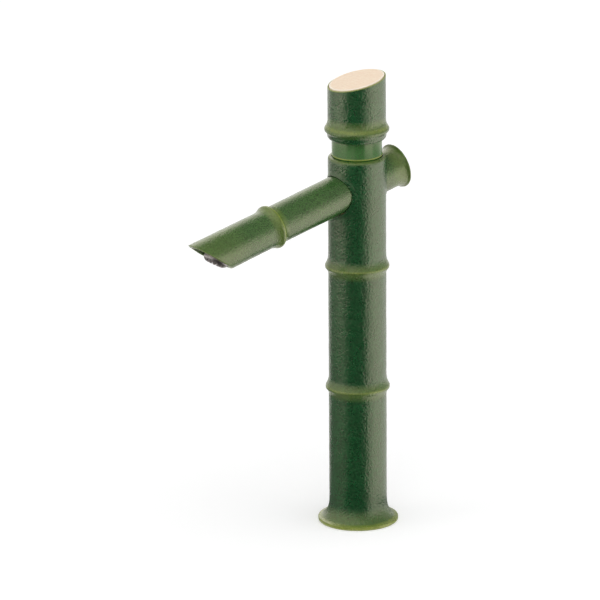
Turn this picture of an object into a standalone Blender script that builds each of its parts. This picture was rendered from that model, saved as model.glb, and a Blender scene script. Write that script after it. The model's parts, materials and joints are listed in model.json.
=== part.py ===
"""Bamboo-shaped pillar tap for one deck hole, in metres.

The column's axis is +Z, the deck is the plane z = 0 and the spout points along -Y.
Turning the handle by a quarter, anticlockwise from above, opens the ceramic discs.
"""

import math

import bmesh
import bpy
from mathutils import Vector

MM = 0.001

# Fits and cuts
FIT = 0.3 * MM
OVERRUN = 4.0 * MM
WELD = 0.002 * MM
CHAMFER = 0.4 * MM

# Column
COLUMN_RADIUS = 18.0 * MM
COLUMN_WALL = 2.2 * MM
COLUMN_HEIGHT = 235.7 * MM
COLUMN_TOP_ROUND = 2.0 * MM
FOOT_RADIUS = 25.0 * MM
FOOT_RIM = 2.4 * MM
FOOT_FLARE = 11.2 * MM
NODE_RADIUS = 20.0 * MM
NODE_FLARE = 7.2 * MM
NODE_RETURN = 4.7 * MM
NODE_CREST = 1.4 * MM
LOWER_NODE_Z = 87.3 * MM
UPPER_NODE_Z = 165.2 * MM
LIP_WIDTH = 1.3 * MM
LIP_RISE = 0.6 * MM

# Spout, measured from where its axis crosses the column's
SPOUT_BELOW_TOP = 18.9 * MM
SPOUT_DROOP = math.radians(12.1)
SPOUT_RADIUS = 12.0 * MM
SPOUT_MOUTH_RADIUS = 12.3 * MM
SPOUT_WALL = 2.0 * MM
SPOUT_REACH = 128.5 * MM
SPOUT_CUT_ANGLE = math.radians(44.4)
SPOUT_NODE_AT = 68.6 * MM
SPOUT_NODE_RADIUS = 13.9 * MM
SPOUT_NODE_FLARE = 6.8 * MM
SPOUT_NODE_RETURN = 5.2 * MM

# Rear stub
STUB_REACH = 32.1 * MM
STUB_END_RADIUS = 14.2 * MM
STUB_FLARE = 6.5 * MM
STUB_RIM = 1.2 * MM
STUB_RECESS = 2.0 * MM
STUB_RECESS_WALL = 1.6 * MM
STUB_END_WALL = 2.5 * MM

# Neck between column and handle
NECK_LENGTH = 9.6 * MM
SLEEVE_WALL = 1.9 * MM
SLEEVE_SEAT_DEPTH = 8.0 * MM
SLEEVE_FLANGE = 2.4 * MM
SLEEVE_OVERLAP = 7.7 * MM

# Handle
HANDLE_RADIUS = 18.0 * MM
HANDLE_AXIS_HEIGHT = 38.2 * MM
HANDLE_SLANT = math.radians(12.6)
HANDLE_LOW_HEADING = math.radians(20.0)
HANDLE_NODE_RADIUS = 20.1 * MM
HANDLE_NODE_UP = 7.4 * MM
HANDLE_NODE_FLARE = 6.4 * MM
HANDLE_NODE_RETURN = 3.4 * MM
HANDLE_LIP_RADIUS = 18.3 * MM
HANDLE_LIP_ROUND = 2.2 * MM
HANDLE_RUNNING_GAP = 0.5 * MM
HANDLE_HEADROOM = 1.0 * MM
HANDLE_WEB = 3.7 * MM
HANDLE_WALL = 2.4 * MM
HANDLE_RIM_WALL = 0.7 * MM
HANDLE_RIM_ROUND = 0.5 * MM
INSERT_THICKNESS = 3.0 * MM
INSERT_PROUD = 0.3 * MM

# Handle fixing
HUB_FLANGE_RADIUS = 11.0 * MM
HUB_FLANGE = 2.8 * MM
HUB_BOSS_RADIUS = 8.0 * MM
HUB_LIFT = 1.8 * MM
HUB_CROWN = 2.2 * MM
SCREW_RADIUS = 1.9 * MM
SCREW_GRIP = 8.0 * MM
SCREW_HEAD_RADIUS = 3.9 * MM
SCREW_HEAD = 2.6 * MM
SCREW_SLOT_WIDTH = 1.0 * MM
SCREW_SLOT_DEPTH = 1.4 * MM
WASHER_RADIUS = 10.0 * MM
WASHER_THICKNESS = 1.2 * MM

# Headwork
HEX_ACROSS_FLATS = 22.0 * MM
HEX_HEIGHT = 6.0 * MM
THREAD_RADIUS = 10.5 * MM
BARREL_RADIUS = 9.2 * MM
BARREL_BORE = 8.0 * MM
HEADWORK_SHOULDER = 6.7 * MM
HEADWORK_NECK = 8.3 * MM
HEADWORK_NECK_RADIUS = 7.0 * MM
HEADWORK_GUIDE = 4.0 * MM
HEADWORK_GROOVE = 2.0 * MM
HEADWORK_COLLAR = 0.8 * MM
WINDOW_WIDTH = 7.0 * MM
CROWN_HEIGHT = 2.0 * MM
CROWN_WALL = 1.3 * MM

# Spindle, its stop and its clip
QUARTER_TURN = math.radians(90.0)
PISTON_RADIUS = 5.5 * MM
STEM_RADIUS = 4.0 * MM
SQUARE_ACROSS_FLATS = 5.6 * MM
SPINDLE_COLLAR = 1.4 * MM
BLADE_LENGTH = 3.0 * MM
BLADE_THICKNESS = 3.0 * MM
BLADE_BITE = 0.9 * MM
THRUST_WASHER = 0.8 * MM
STOP_THICKNESS = 1.3 * MM
STOP_TAB_HALF_ANGLE = math.radians(20.0)
STOP_CLEARANCE = math.radians(3.0)
CLIP_THICKNESS = 0.8 * MM
CLIP_CLEARANCE = 0.15 * MM
CLIP_GROOVE_RADIUS = 2.4 * MM
CLIP_RADIUS = 5.0 * MM
CLIP_HALF_ANGLE = math.radians(150.0)

# Ceramic discs
DISC_THICKNESS = 2.8 * MM
PORT_INNER_RADIUS = 2.4 * MM
PORT_OUTER_RADIUS = 6.6 * MM
PORT_HALF_ANGLE = math.radians(38.0)
SEAT_GASKET = 2.2 * MM
SEAT_GASKET_WIDTH = 2.2 * MM
SEAT_GASKET_PROUD = 0.6 * MM

# Rubber rings
O_RING_SECTION = 0.75 * MM
O_RING_CLEARANCE = 0.25 * MM
O_RING_GROOVE = 2.2 * MM
PISTON_RING_SECTION = 0.55 * MM
HEADWORK_RING_SECTION = 0.68 * MM
PISTON_GROOVE = 1.8 * MM
PISTON_RING_PITCH = 5.0 * MM
PISTON_RING_INSET = 5.5 * MM

# Valve body and pipes
SEAT_HOLE_RADIUS = 5.2 * MM
SEAT_WALL = 2.5 * MM
SOCKET_DEPTH = 8.0 * MM
PIPE_RADIUS = 6.0 * MM
PIPE_WALL = 1.0 * MM
SPOT_FACE_DEPTH = 0.9 * MM
SPOT_FACE_RADIUS = 9.6 * MM
COLLAR_RADIUS = 9.2 * MM
COLLAR_THICKNESS = 3.0 * MM
SPOUT_GASKET = 1.0 * MM
PIPE_END_RING_INSET = 3.2 * MM

# Outlet, measured out from the slanted cut
OUTLET_RECESS = 2.5 * MM
OUTLET_SOCKET_LENGTH = 6.5 * MM
OUTLET_FLOOR_AHEAD = 1.0 * MM
AERATOR_RADIUS = 8.0 * MM
AERATOR_WALL = 1.4 * MM
AERATOR_LIP = 0.8 * MM
AERATOR_PROUD = 3.1 * MM
AERATOR_DEPTH = 7.5 * MM
AERATOR_BELOW_AXIS = 4.8 * MM
AERATOR_MOUTH = 1.8 * MM
AERATOR_GASKET = 1.4 * MM
AERATOR_NOTCHES = 12
NOTCH_WIDTH = 1.3 * MM
NOTCH_DEPTH = 0.9 * MM
STRAIGHTENER_THICKNESS = 2.6 * MM
STRAIGHTENER_HOLE_RADIUS = 0.75 * MM
STRAIGHTENER_PITCH = 2.25 * MM
STRAIGHTENER_RINGS = 2

# Inlet and deck fixing
SHANK_RADIUS = 10.48 * MM
SHANK_BORE = 7.5 * MM
SHANK_BELOW_DECK = 52.0 * MM
SHANK_COLLAR_LOW = 1.0 * MM
SHANK_COLLAR = 8.0 * MM
SPIGOT_RADIUS = 9.6 * MM
SPIGOT_LENGTH = 13.0 * MM
SPIGOT_FLOOR = 2.0 * MM
DECK_THICKNESS = 20.0 * MM
DECK_GASKET_RADIUS = 20.0 * MM
DECK_GASKET = 3.0 * MM
DECK_WASHER_RADIUS = 21.0 * MM
DECK_WASHER = 1.5 * MM
NUT_ACROSS_FLATS = 30.0 * MM
NUT_HEIGHT = 8.0 * MM
BASE_GASKET_INNER = 18.0 * MM
BASE_GASKET_OUTER = 22.0 * MM
BASE_GASKET = 1.5 * MM

# Facets
COLUMN_STEPS = 32
INNER_STEPS = 20
SMALL_STEPS = 16
RING_STEPS = 16
RING_SECTION_STEPS = 6
HOLE_STEPS = 6
CURVE_POINTS = 3
SMOOTH_ANGLE = math.radians(35.0)

# Places that follow from the sizes
column_bore = COLUMN_RADIUS - COLUMN_WALL
fitted_radius = column_bore - FIT
spout_axis_z = COLUMN_HEIGHT - SPOUT_BELOW_TOP
spout_bore = SPOUT_RADIUS - SPOUT_WALL
spout_slope = 1.0 / math.tan(SPOUT_CUT_ANGLE)
spout_cut_at = SPOUT_REACH - SPOUT_MOUTH_RADIUS * spout_slope

valve_top = COLUMN_HEIGHT - SLEEVE_SEAT_DEPTH
sleeve_bottom = valve_top + FIT
sleeve_flange_top = sleeve_bottom + SLEEVE_FLANGE
sleeve_bore = fitted_radius - SLEEVE_WALL
handle_bottom = COLUMN_HEIGHT + NECK_LENGTH
sleeve_top = handle_bottom + SLEEVE_OVERLAP

hex_bottom = sleeve_flange_top + FIT
hex_top = hex_bottom + HEX_HEIGHT
headwork_top = hex_top + HEADWORK_NECK
shoulder_z = hex_bottom - HEADWORK_SHOULDER
guide_z = headwork_top - HEADWORK_GUIDE
piston_bore = PISTON_RADIUS + FIT
stem_bore = STEM_RADIUS + FIT
chamber_radius = THREAD_RADIUS + FIT
disc_radius = BARREL_BORE - FIT

thrust_top = shoulder_z - FIT
thrust_bottom = thrust_top - THRUST_WASHER
collar_top = thrust_bottom - FIT
collar_bottom = collar_top - SPINDLE_COLLAR
moving_top = collar_bottom - BLADE_LENGTH
moving_bottom = moving_top - DISC_THICKNESS
fixed_top = moving_bottom - FIT
fixed_bottom = fixed_top - DISC_THICKNESS
gasket_top = fixed_bottom - FIT
gasket_bottom = gasket_top - SEAT_GASKET
barrel_bottom = gasket_bottom + SEAT_GASKET_PROUD
seat_z = gasket_bottom - FIT
socket_top = seat_z - SEAT_WALL
valve_bottom = socket_top - SOCKET_DEPTH

stop_bottom = headwork_top + FIT
stop_top = stop_bottom + STOP_THICKNESS
clip_bottom = stop_top + FIT
clip_top = clip_bottom + CLIP_THICKNESS
crown_outer = HEADWORK_NECK_RADIUS - FIT
crown_inner = crown_outer - CROWN_WALL
stop_radius = crown_inner - FIT

hub_bottom = clip_top + HUB_LIFT
web_bottom = sleeve_top + HANDLE_HEADROOM + HUB_FLANGE + FIT
web_top = web_bottom + HANDLE_WEB
hub_flange_top = web_bottom - FIT
hub_top = web_top + FIT
washer_bottom = hub_top + FIT
washer_top = washer_bottom + WASHER_THICKNESS
head_bottom = washer_top + FIT
spindle_top = hub_top - HUB_CROWN - FIT
handle_top = handle_bottom + HANDLE_AXIS_HEIGHT
handle_node_z = handle_bottom + HANDLE_NODE_UP
handle_slope = math.tan(HANDLE_SLANT)
handle_low = Vector((-math.sin(HANDLE_LOW_HEADING), -math.cos(HANDLE_LOW_HEADING)))

pipe_bore = PIPE_RADIUS - PIPE_WALL
socket_radius = PIPE_RADIUS + FIT
ring_centre = PIPE_RADIUS + O_RING_CLEARANCE + O_RING_SECTION
ring_groove_radius = ring_centre + O_RING_SECTION + O_RING_CLEARANCE

spigot_bottom = SHANK_COLLAR_LOW + SHANK_COLLAR
spigot_top = spigot_bottom + SPIGOT_LENGTH
spigot_floor_top = spigot_bottom + SPIGOT_FLOOR
riser_bottom = spigot_floor_top + FIT
riser_top = socket_top - FIT

spot_face_at = fitted_radius - SPOT_FACE_DEPTH
spout_gasket_at = spot_face_at + FIT
pipe_collar_at = spout_gasket_at + SPOUT_GASKET + FIT
pipe_plain_at = pipe_collar_at + COLLAR_THICKNESS
pipe_start = chamber_radius + FIT
port_start = (chamber_radius - socket_radius * math.sin(SPOUT_DROOP)) / math.cos(SPOUT_DROOP) - FIT

aerator_y = -AERATOR_BELOW_AXIS * math.sin(SPOUT_CUT_ANGLE)
aerator_s = spout_cut_at - AERATOR_BELOW_AXIS * math.cos(SPOUT_CUT_ANGLE)
floor_y = aerator_y + AERATOR_DEPTH * math.cos(SPOUT_CUT_ANGLE)
floor_s = aerator_s - AERATOR_DEPTH * math.sin(SPOUT_CUT_ANGLE)
floor_on_axis = floor_s - floor_y / math.tan(SPOUT_CUT_ANGLE)
pocket_radius = AERATOR_RADIUS + FIT


def clear_scene():
    """Remove every object that the scene starts with."""
    for item in list(bpy.data.objects):
        bpy.data.objects.remove(item, do_unlink=True)


def new_collection(name):
    """Return a new collection that is linked to the scene."""
    group = bpy.data.collections.new(name)
    bpy.context.scene.collection.children.link(group)
    return group


def finish_of(name, colour, roughness, metallic):
    """Return a Principled BSDF material."""
    material = bpy.data.materials.new(name)
    material.use_nodes = True
    shader = material.node_tree.nodes["Principled BSDF"]
    shader.inputs["Base Color"].default_value = (*colour, 1.0)
    shader.inputs["Roughness"].default_value = roughness
    shader.inputs["Metallic"].default_value = metallic
    return material


clear_scene()
PARTS = new_collection("bamboo_faucet")
CUTTERS = new_collection("cutters")

GREEN_CAST = finish_of("green_cast", (0.035, 0.105, 0.035), 0.42, 0.2)
GREEN_SATIN = finish_of("green_satin", (0.07, 0.19, 0.04), 0.3, 0.2)
PALE_WOOD = finish_of("pale_wood", (0.85, 0.66, 0.45), 0.5, 0.0)
BRASS = finish_of("brass", (0.72, 0.53, 0.22), 0.3, 1.0)
COPPER = finish_of("copper", (0.72, 0.35, 0.2), 0.3, 1.0)
CHROME = finish_of("chrome", (0.6, 0.56, 0.58), 0.18, 1.0)
STEEL = finish_of("steel", (0.6, 0.6, 0.6), 0.3, 1.0)
CERAMIC = finish_of("ceramic", (0.86, 0.85, 0.82), 0.2, 0.0)
RUBBER = finish_of("rubber", (0.02, 0.02, 0.02), 0.7, 0.0)
ACETAL = finish_of("acetal", (0.75, 0.75, 0.72), 0.4, 0.0)


def frame_at(name, location, tilt, parent=None):
    """Return an empty turned about X by tilt, which carries the pieces along one axis."""
    empty = bpy.data.objects.new(name, None)
    empty.location = location
    empty.rotation_euler = (tilt, 0, 0)
    empty.parent = parent
    PARTS.objects.link(empty)
    return empty


def add_object(name, mesh, group, parent):
    """Link a new object with this mesh to a collection, under its parent."""
    item = bpy.data.objects.new(name, mesh)
    item.parent = parent
    group.objects.link(item)
    if group is CUTTERS:
        item.hide_render = True
        item.display_type = "WIRE"
    return item


def profile_mesh(name, points, closed):
    """Return a mesh of one line of points (radius, height) in the XZ plane."""
    mesh = bpy.data.meshes.new(name)
    last = len(points) if closed else len(points) - 1
    edges = [(i, (i + 1) % len(points)) for i in range(last)]
    mesh.from_pydata([(r, 0, z) for r, z in points], edges, [])
    return mesh


def turned(name, points, steps, group, parent=None):
    """Turn a profile that runs out, down its outer side and back in, about the local Z axis."""
    closed = points[0][0] > 0
    item = add_object(name, profile_mesh(name, points, closed), group, parent)
    screw = item.modifiers.new("turn", "SCREW")
    screw.axis = "Z"
    screw.steps = steps
    screw.render_steps = steps
    screw.use_merge_vertices = True
    screw.merge_threshold = WELD
    return item


def baked(item):
    """Replace an object's mesh by its evaluated one, with no modifiers left."""
    graph = bpy.context.evaluated_depsgraph_get()
    mesh = bpy.data.meshes.new_from_object(item.evaluated_get(graph))
    item.modifiers.clear()
    item.data = mesh
    return item


def slanted(item, above, slope, low):
    """Shear what lies above a height, so that a flat end falls towards the direction low."""
    baked(item)
    for vertex in item.data.vertices:
        if vertex.co.z > above:
            vertex.co.z -= slope * vertex.co.xy.dot(low)
    return item


def prism(name, sides, corner_radius, bottom, top, group, parent=None, turn=0.0):
    """Return an upright prism or faceted cylinder between two heights."""
    bm = bmesh.new()
    bmesh.ops.create_cone(bm, cap_ends=True, segments=sides, radius1=corner_radius,
                          radius2=corner_radius, depth=top - bottom)
    mesh = bpy.data.meshes.new(name)
    bm.to_mesh(mesh)
    bm.free()
    item = add_object(name, mesh, group, parent)
    item.location = (0, 0, (top + bottom) / 2)
    item.rotation_euler = (0, 0, turn)
    return item


def block(name, size, centre, group, parent=None, turn=0.0):
    """Return a box of the given size about a centre."""
    bm = bmesh.new()
    bmesh.ops.create_cube(bm, size=1.0)
    bmesh.ops.scale(bm, vec=size, verts=bm.verts)
    mesh = bpy.data.meshes.new(name)
    bm.to_mesh(mesh)
    bm.free()
    item = add_object(name, mesh, group, parent)
    item.location = centre
    item.rotation_euler = (0, 0, turn)
    return item


def sector(name, inner, outer, middle, half_angle, bottom, top, group, parent=None):
    """Return a flat piece of a ring, about the heading middle, between two heights."""
    count = max(CURVE_POINTS, round(RING_STEPS * half_angle / math.pi))
    angles = [middle + half_angle * (2 * i / count - 1) for i in range(count + 1)]
    outline = [(outer * math.cos(a), outer * math.sin(a)) for a in angles]
    outline += [(inner * math.cos(a), inner * math.sin(a)) for a in reversed(angles)]
    curve = bpy.data.curves.new(name, "CURVE")
    curve.dimensions = "2D"
    curve.fill_mode = "BOTH"
    curve.extrude = (top - bottom) / 2
    spline = curve.splines.new("POLY")
    spline.points.add(len(outline) - 1)
    for point, (x, y) in zip(spline.points, outline):
        point.co = (x, y, 0, 1)
    spline.use_cyclic_u = True
    guide = bpy.data.objects.new(name + "_outline", curve)
    CUTTERS.objects.link(guide)
    graph = bpy.context.evaluated_depsgraph_get()
    mesh = bpy.data.meshes.new_from_object(guide.evaluated_get(graph))
    bpy.data.objects.remove(guide, do_unlink=True)
    bm = bmesh.new()
    bm.from_mesh(mesh)
    bmesh.ops.remove_doubles(bm, verts=bm.verts, dist=WELD)
    bmesh.ops.recalc_face_normals(bm, faces=bm.faces)
    bm.to_mesh(mesh)
    bm.free()
    item = add_object(name, mesh, group, parent)
    item.location = (0, 0, (top + bottom) / 2)
    return item


def combine(item, tool, operation):
    """Cut, join or keep what both share, then weld the points that the cut left doubled."""
    change = item.modifiers.new(operation.lower(), "BOOLEAN")
    change.operation = operation
    change.object = tool
    change.solver = "EXACT"
    baked(item)
    bm = bmesh.new()
    bm.from_mesh(item.data)
    bmesh.ops.remove_doubles(bm, verts=bm.verts, dist=WELD)
    bmesh.ops.dissolve_degenerate(bm, edges=bm.edges, dist=WELD)
    bm.to_mesh(item.data)
    bm.free()
    return item


def cut(item, *tools):
    """Cut each tool out of an object."""
    for tool in tools:
        combine(item, tool, "DIFFERENCE")
    return item


def joined(item, *tools):
    """Join each tool to an object as one solid."""
    for tool in tools:
        combine(item, tool, "UNION")
    return item


def finished(item, material):
    """Bake a piece, give it its material and shade its round faces smooth."""
    baked(item)
    item.data.name = item.name
    item.data.materials.clear()
    item.data.materials.append(material)
    item.data.shade_smooth()
    item.data.set_sharp_from_angle(angle=SMOOTH_ANGLE)
    return item


def ring_profile(inner, outer, bottom, top, chamfer=0.0):
    """Return the section of a plain ring whose outer edges are chamfered."""
    if chamfer == 0:
        return [(inner, top), (outer, top), (outer, bottom), (inner, bottom)]
    return [(inner, top), (outer - chamfer, top), (outer, top - chamfer),
            (outer, bottom + chamfer), (outer - chamfer, bottom), (inner, bottom)]


def node_profile(peak_z, flare, back, crest, upper_radius, peak_radius, lower_radius):
    """Return a bamboo node's outline: a long hollow flare, its crest and a short return."""
    points = []
    for i in range(CURVE_POINTS + 1):
        share = i / CURVE_POINTS
        height = peak_z + crest / 2 + (flare - crest / 2) * (1 - share)
        points.append((upper_radius + (peak_radius - upper_radius) * share ** 2, height))
    for i in range(CURVE_POINTS + 1):
        share = i / CURVE_POINTS
        height = peak_z - crest / 2 - (back - crest / 2) * share
        points.append((lower_radius + (peak_radius - lower_radius) * (1 - share) ** 2, height))
    return points


def trumpet_profile(start_radius, end_radius, start, end):
    """Return a quarter ellipse that leaves along the axis and ends square to it."""
    points = []
    for i in range(CURVE_POINTS + 1):
        angle = QUARTER_TURN * i / CURVE_POINTS
        radius = start_radius + (end_radius - start_radius) * (1 - math.cos(angle))
        points.append((radius, start + (end - start) * math.sin(angle)))
    return points


def rounded_edge(radius, height, round_radius, downwards=True):
    """Return the quarter circle that rounds an outer edge, from its face to its side."""
    points = []
    for i in range(CURVE_POINTS):
        angle = QUARTER_TURN * i / (CURVE_POINTS - 1)
        out = radius - round_radius * (1 - math.sin(angle))
        drop = round_radius * (1 - math.cos(angle))
        points.append((out, height - drop if downwards else height + drop))
    return points if downwards else points[::-1]


def o_ring(name, centre_radius, section, height, parent=None):
    """Return a rubber ring of round section about the local Z axis."""
    loop = []
    for i in range(RING_SECTION_STEPS):
        angle = -2 * math.pi * i / RING_SECTION_STEPS
        loop.append((centre_radius + section * math.cos(angle), height + section * math.sin(angle)))
    return finished(turned(name, loop, RING_STEPS, PARTS, parent), RUBBER)


def socket_profile(blind_end, mouth, hole_radius, hole_end, groove_middle):
    """Return the cutter of a pipe's socket, with its ring groove and the hole beyond it."""
    step = 1 if blind_end > mouth else -1
    half = O_RING_GROOVE / 2
    line = [(0, hole_end), (hole_radius, hole_end), (hole_radius, blind_end),
            (socket_radius, blind_end), (socket_radius, groove_middle + step * half),
            (ring_groove_radius, groove_middle + step * half),
            (ring_groove_radius, groove_middle - step * half),
            (socket_radius, groove_middle - step * half), (socket_radius, mouth), (0, mouth)]
    return line if step > 0 else line[::-1]


spout_frame = frame_at("spout_frame", (0, 0, spout_axis_z), QUARTER_TURN + SPOUT_DROOP)
stub_frame = frame_at("stub_frame", (0, 0, spout_axis_z), SPOUT_DROOP - QUARTER_TURN)
aerator_frame = frame_at("aerator_frame", (0, aerator_y, aerator_s),
                         QUARTER_TURN - SPOUT_CUT_ANGLE, spout_frame)
handle_pivot = frame_at("handle_pivot", (0, 0, 0), 0)


def column_parts():
    """The cast column: two nodes, a flared foot, and lips round the holes in its sides."""
    outline = [(0, COLUMN_HEIGHT)]
    outline += rounded_edge(COLUMN_RADIUS, COLUMN_HEIGHT, COLUMN_TOP_ROUND)
    for node_z in (UPPER_NODE_Z, LOWER_NODE_Z):
        outline += node_profile(node_z, NODE_FLARE, NODE_RETURN, NODE_CREST,
                                COLUMN_RADIUS, NODE_RADIUS, COLUMN_RADIUS)
    outline += trumpet_profile(COLUMN_RADIUS, FOOT_RADIUS - CHAMFER, FOOT_RIM + FOOT_FLARE,
                               FOOT_RIM)
    outline += [(FOOT_RADIUS, FOOT_RIM - CHAMFER), (FOOT_RADIUS, CHAMFER),
                (FOOT_RADIUS - CHAMFER, 0), (0, 0)]
    column = turned("column_body", outline, COLUMN_STEPS, PARTS)

    hole_radius = SPOUT_RADIUS + FIT
    for name, frame in (("spout", spout_frame), ("stub", stub_frame)):
        lip = prism(name + "_lip", COLUMN_STEPS, hole_radius + LIP_WIDTH, column_bore / 2,
                    COLUMN_RADIUS + OVERRUN, CUTTERS, frame)
        reach = prism(name + "_lip_reach", COLUMN_STEPS, COLUMN_RADIUS + LIP_RISE,
                      0, COLUMN_HEIGHT, CUTTERS)
        joined(column, combine(lip, reach, "INTERSECT"))

    cut(column, prism("column_bore", COLUMN_STEPS, column_bore, -OVERRUN,
                      COLUMN_HEIGHT + OVERRUN, CUTTERS))
    for name, frame in (("spout", spout_frame), ("stub", stub_frame)):
        cut(column, prism(name + "_hole", COLUMN_STEPS, hole_radius, column_bore / 2,
                          COLUMN_RADIUS + 2 * OVERRUN, CUTTERS, frame))
    groove = ring_profile(BASE_GASKET_INNER - FIT, BASE_GASKET_OUTER + FIT, -OVERRUN,
                          BASE_GASKET + FIT)
    cut(column, turned("base_groove", groove, COLUMN_STEPS, CUTTERS))
    finished(column, GREEN_CAST)

    gasket = ring_profile(BASE_GASKET_INNER, BASE_GASKET_OUTER, 0, BASE_GASKET)
    finished(turned("base_gasket", gasket, INNER_STEPS, PARTS), RUBBER)


def spout_parts():
    """The bamboo spout and the stub behind, both coped to the column's bore."""
    outline = [(spout_bore + CHAMFER, spout_cut_at), (SPOUT_MOUTH_RADIUS - CHAMFER, spout_cut_at),
               (SPOUT_MOUTH_RADIUS, spout_cut_at - CHAMFER)]
    outline += node_profile(SPOUT_NODE_AT, SPOUT_NODE_FLARE, SPOUT_NODE_RETURN, NODE_CREST,
                            SPOUT_RADIUS, SPOUT_NODE_RADIUS, SPOUT_RADIUS)
    outline += [(SPOUT_RADIUS, column_bore / 2), (spout_bore, column_bore / 2),
                (spout_bore, spout_cut_at - CHAMFER)]
    spout = turned("spout_shell", outline, COLUMN_STEPS, PARTS, spout_frame)
    slanted(spout, spout_cut_at - 2 * CHAMFER, spout_slope, Vector((0, -1)))
    cope = prism("spout_cope", COLUMN_STEPS, column_bore, 0, COLUMN_HEIGHT, CUTTERS)
    finished(cut(spout, cope), GREEN_CAST)

    recess_radius = STUB_END_RADIUS - STUB_RECESS_WALL
    outline = [(0, STUB_REACH - STUB_RECESS), (recess_radius, STUB_REACH - STUB_RECESS),
               (recess_radius, STUB_REACH), (STUB_END_RADIUS - CHAMFER, STUB_REACH),
               (STUB_END_RADIUS, STUB_REACH - CHAMFER), (STUB_END_RADIUS, STUB_REACH - STUB_RIM)]
    flare = trumpet_profile(SPOUT_RADIUS, STUB_END_RADIUS, STUB_REACH - STUB_RIM - STUB_FLARE,
                            STUB_REACH - STUB_RIM)
    outline += flare[-2::-1]
    hollow_end = STUB_REACH - STUB_RECESS - STUB_END_WALL
    outline += [(SPOUT_RADIUS, column_bore / 2), (spout_bore, column_bore / 2),
                (spout_bore, hollow_end), (0, hollow_end)]
    stub = turned("rear_stub", outline, COLUMN_STEPS, PARTS, stub_frame)
    finished(cut(stub, cope), GREEN_CAST)


def neck_parts():
    """The smooth sleeve that the headwork's hexagon clamps on the valve body."""
    outline = [(sleeve_bore, sleeve_top), (fitted_radius - CHAMFER, sleeve_top),
               (fitted_radius, sleeve_top - CHAMFER), (fitted_radius, sleeve_bottom),
               (chamber_radius, sleeve_bottom), (chamber_radius, sleeve_flange_top),
               (sleeve_bore, sleeve_flange_top)]
    finished(turned("neck_sleeve", outline, COLUMN_STEPS, PARTS), GREEN_SATIN)


def handle_parts():
    """The handle's shell with its slanted top, the pale insert, and what fixes them."""
    rim_bore = HANDLE_RADIUS - HANDLE_RIM_WALL
    ledge = handle_top - INSERT_THICKNESS
    skirt_bore = fitted_radius + HANDLE_RUNNING_GAP
    outline = [(rim_bore, handle_top)]
    outline += rounded_edge(HANDLE_RADIUS, handle_top, HANDLE_RIM_ROUND)
    outline += node_profile(handle_node_z, HANDLE_NODE_FLARE, HANDLE_NODE_RETURN, NODE_CREST,
                            HANDLE_RADIUS, HANDLE_NODE_RADIUS, HANDLE_LIP_RADIUS)
    outline += rounded_edge(HANDLE_LIP_RADIUS, handle_bottom, HANDLE_LIP_ROUND, downwards=False)
    outline += [(skirt_bore, handle_bottom), (skirt_bore, web_bottom),
                (STEM_RADIUS, web_bottom), (STEM_RADIUS, web_top),
                (HANDLE_RADIUS - HANDLE_WALL, web_top), (HANDLE_RADIUS - HANDLE_WALL, ledge),
                (rim_bore, ledge)]
    shell = turned("handle_shell", outline, COLUMN_STEPS, PARTS, handle_pivot)
    slanted(shell, ledge - CHAMFER, handle_slope, handle_low)
    hub_corner = HUB_BOSS_RADIUS + FIT / math.cos(math.pi / 6)
    cut(shell, prism("hub_hexagon", 6, hub_corner, web_bottom - OVERRUN / 2,
                     web_top + OVERRUN / 2, CUTTERS, handle_pivot))
    finished(shell, GREEN_CAST)

    insert_top = handle_top + INSERT_PROUD
    insert_radius = rim_bore - FIT
    plate = [(0, insert_top), (insert_radius - CHAMFER, insert_top),
             (insert_radius, insert_top - CHAMFER), (insert_radius, ledge + FIT), (0, ledge + FIT)]
    insert = turned("handle_insert", plate, COLUMN_STEPS, PARTS, handle_pivot)
    finished(slanted(insert, 0, handle_slope, handle_low), PALE_WOOD)


def hub_parts():
    """The hub on the spindle's square, and the washer and screw that hold the handle."""
    flange_bottom = hub_flange_top - HUB_FLANGE
    outline = [(0, hub_flange_top), (HUB_FLANGE_RADIUS, hub_flange_top),
               (HUB_FLANGE_RADIUS, flange_bottom), (HUB_BOSS_RADIUS, flange_bottom),
               (HUB_BOSS_RADIUS, hub_bottom), (0, hub_bottom)]
    hub = turned("handle_hub", outline, INNER_STEPS, PARTS, handle_pivot)
    joined(hub, prism("hub_boss", 6, HUB_BOSS_RADIUS, flange_bottom + FIT, hub_top,
                      CUTTERS, handle_pivot))
    square = SQUARE_ACROSS_FLATS + 2 * FIT
    square_top = spindle_top + FIT
    cut(hub, block("hub_square", (square, square, square_top - hub_bottom + OVERRUN),
                   (0, 0, (square_top + hub_bottom - OVERRUN) / 2), CUTTERS, handle_pivot))
    cut(hub, prism("hub_screw_hole", SMALL_STEPS, SCREW_RADIUS + FIT, spindle_top - OVERRUN / 4,
                   hub_top + OVERRUN, CUTTERS, handle_pivot))
    finished(hub, ACETAL)

    washer = ring_profile(SCREW_RADIUS + FIT, WASHER_RADIUS, washer_bottom, washer_top)
    finished(turned("handle_washer", washer, SMALL_STEPS, PARTS, handle_pivot), STEEL)

    head_top = head_bottom + SCREW_HEAD
    shank_end = spindle_top - SCREW_GRIP + FIT
    outline = [(0, head_top), (SCREW_HEAD_RADIUS - 2 * CHAMFER, head_top),
               (SCREW_HEAD_RADIUS, head_top - 2 * CHAMFER), (SCREW_HEAD_RADIUS, head_bottom),
               (SCREW_RADIUS, head_bottom), (SCREW_RADIUS, shank_end + CHAMFER),
               (SCREW_RADIUS - CHAMFER, shank_end), (0, shank_end)]
    screw = turned("handle_screw", outline, SMALL_STEPS, PARTS, handle_pivot)
    arm = 2 * SCREW_HEAD_RADIUS - 4 * CHAMFER - SCREW_SLOT_WIDTH
    for name, turn in (("screw_slot_a", 0.0), ("screw_slot_b", QUARTER_TURN)):
        cut(screw, block(name, (arm, SCREW_SLOT_WIDTH, 2 * SCREW_SLOT_DEPTH),
                         (0, 0, head_top), CUTTERS, handle_pivot, turn))
    finished(screw, STEEL)


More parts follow.
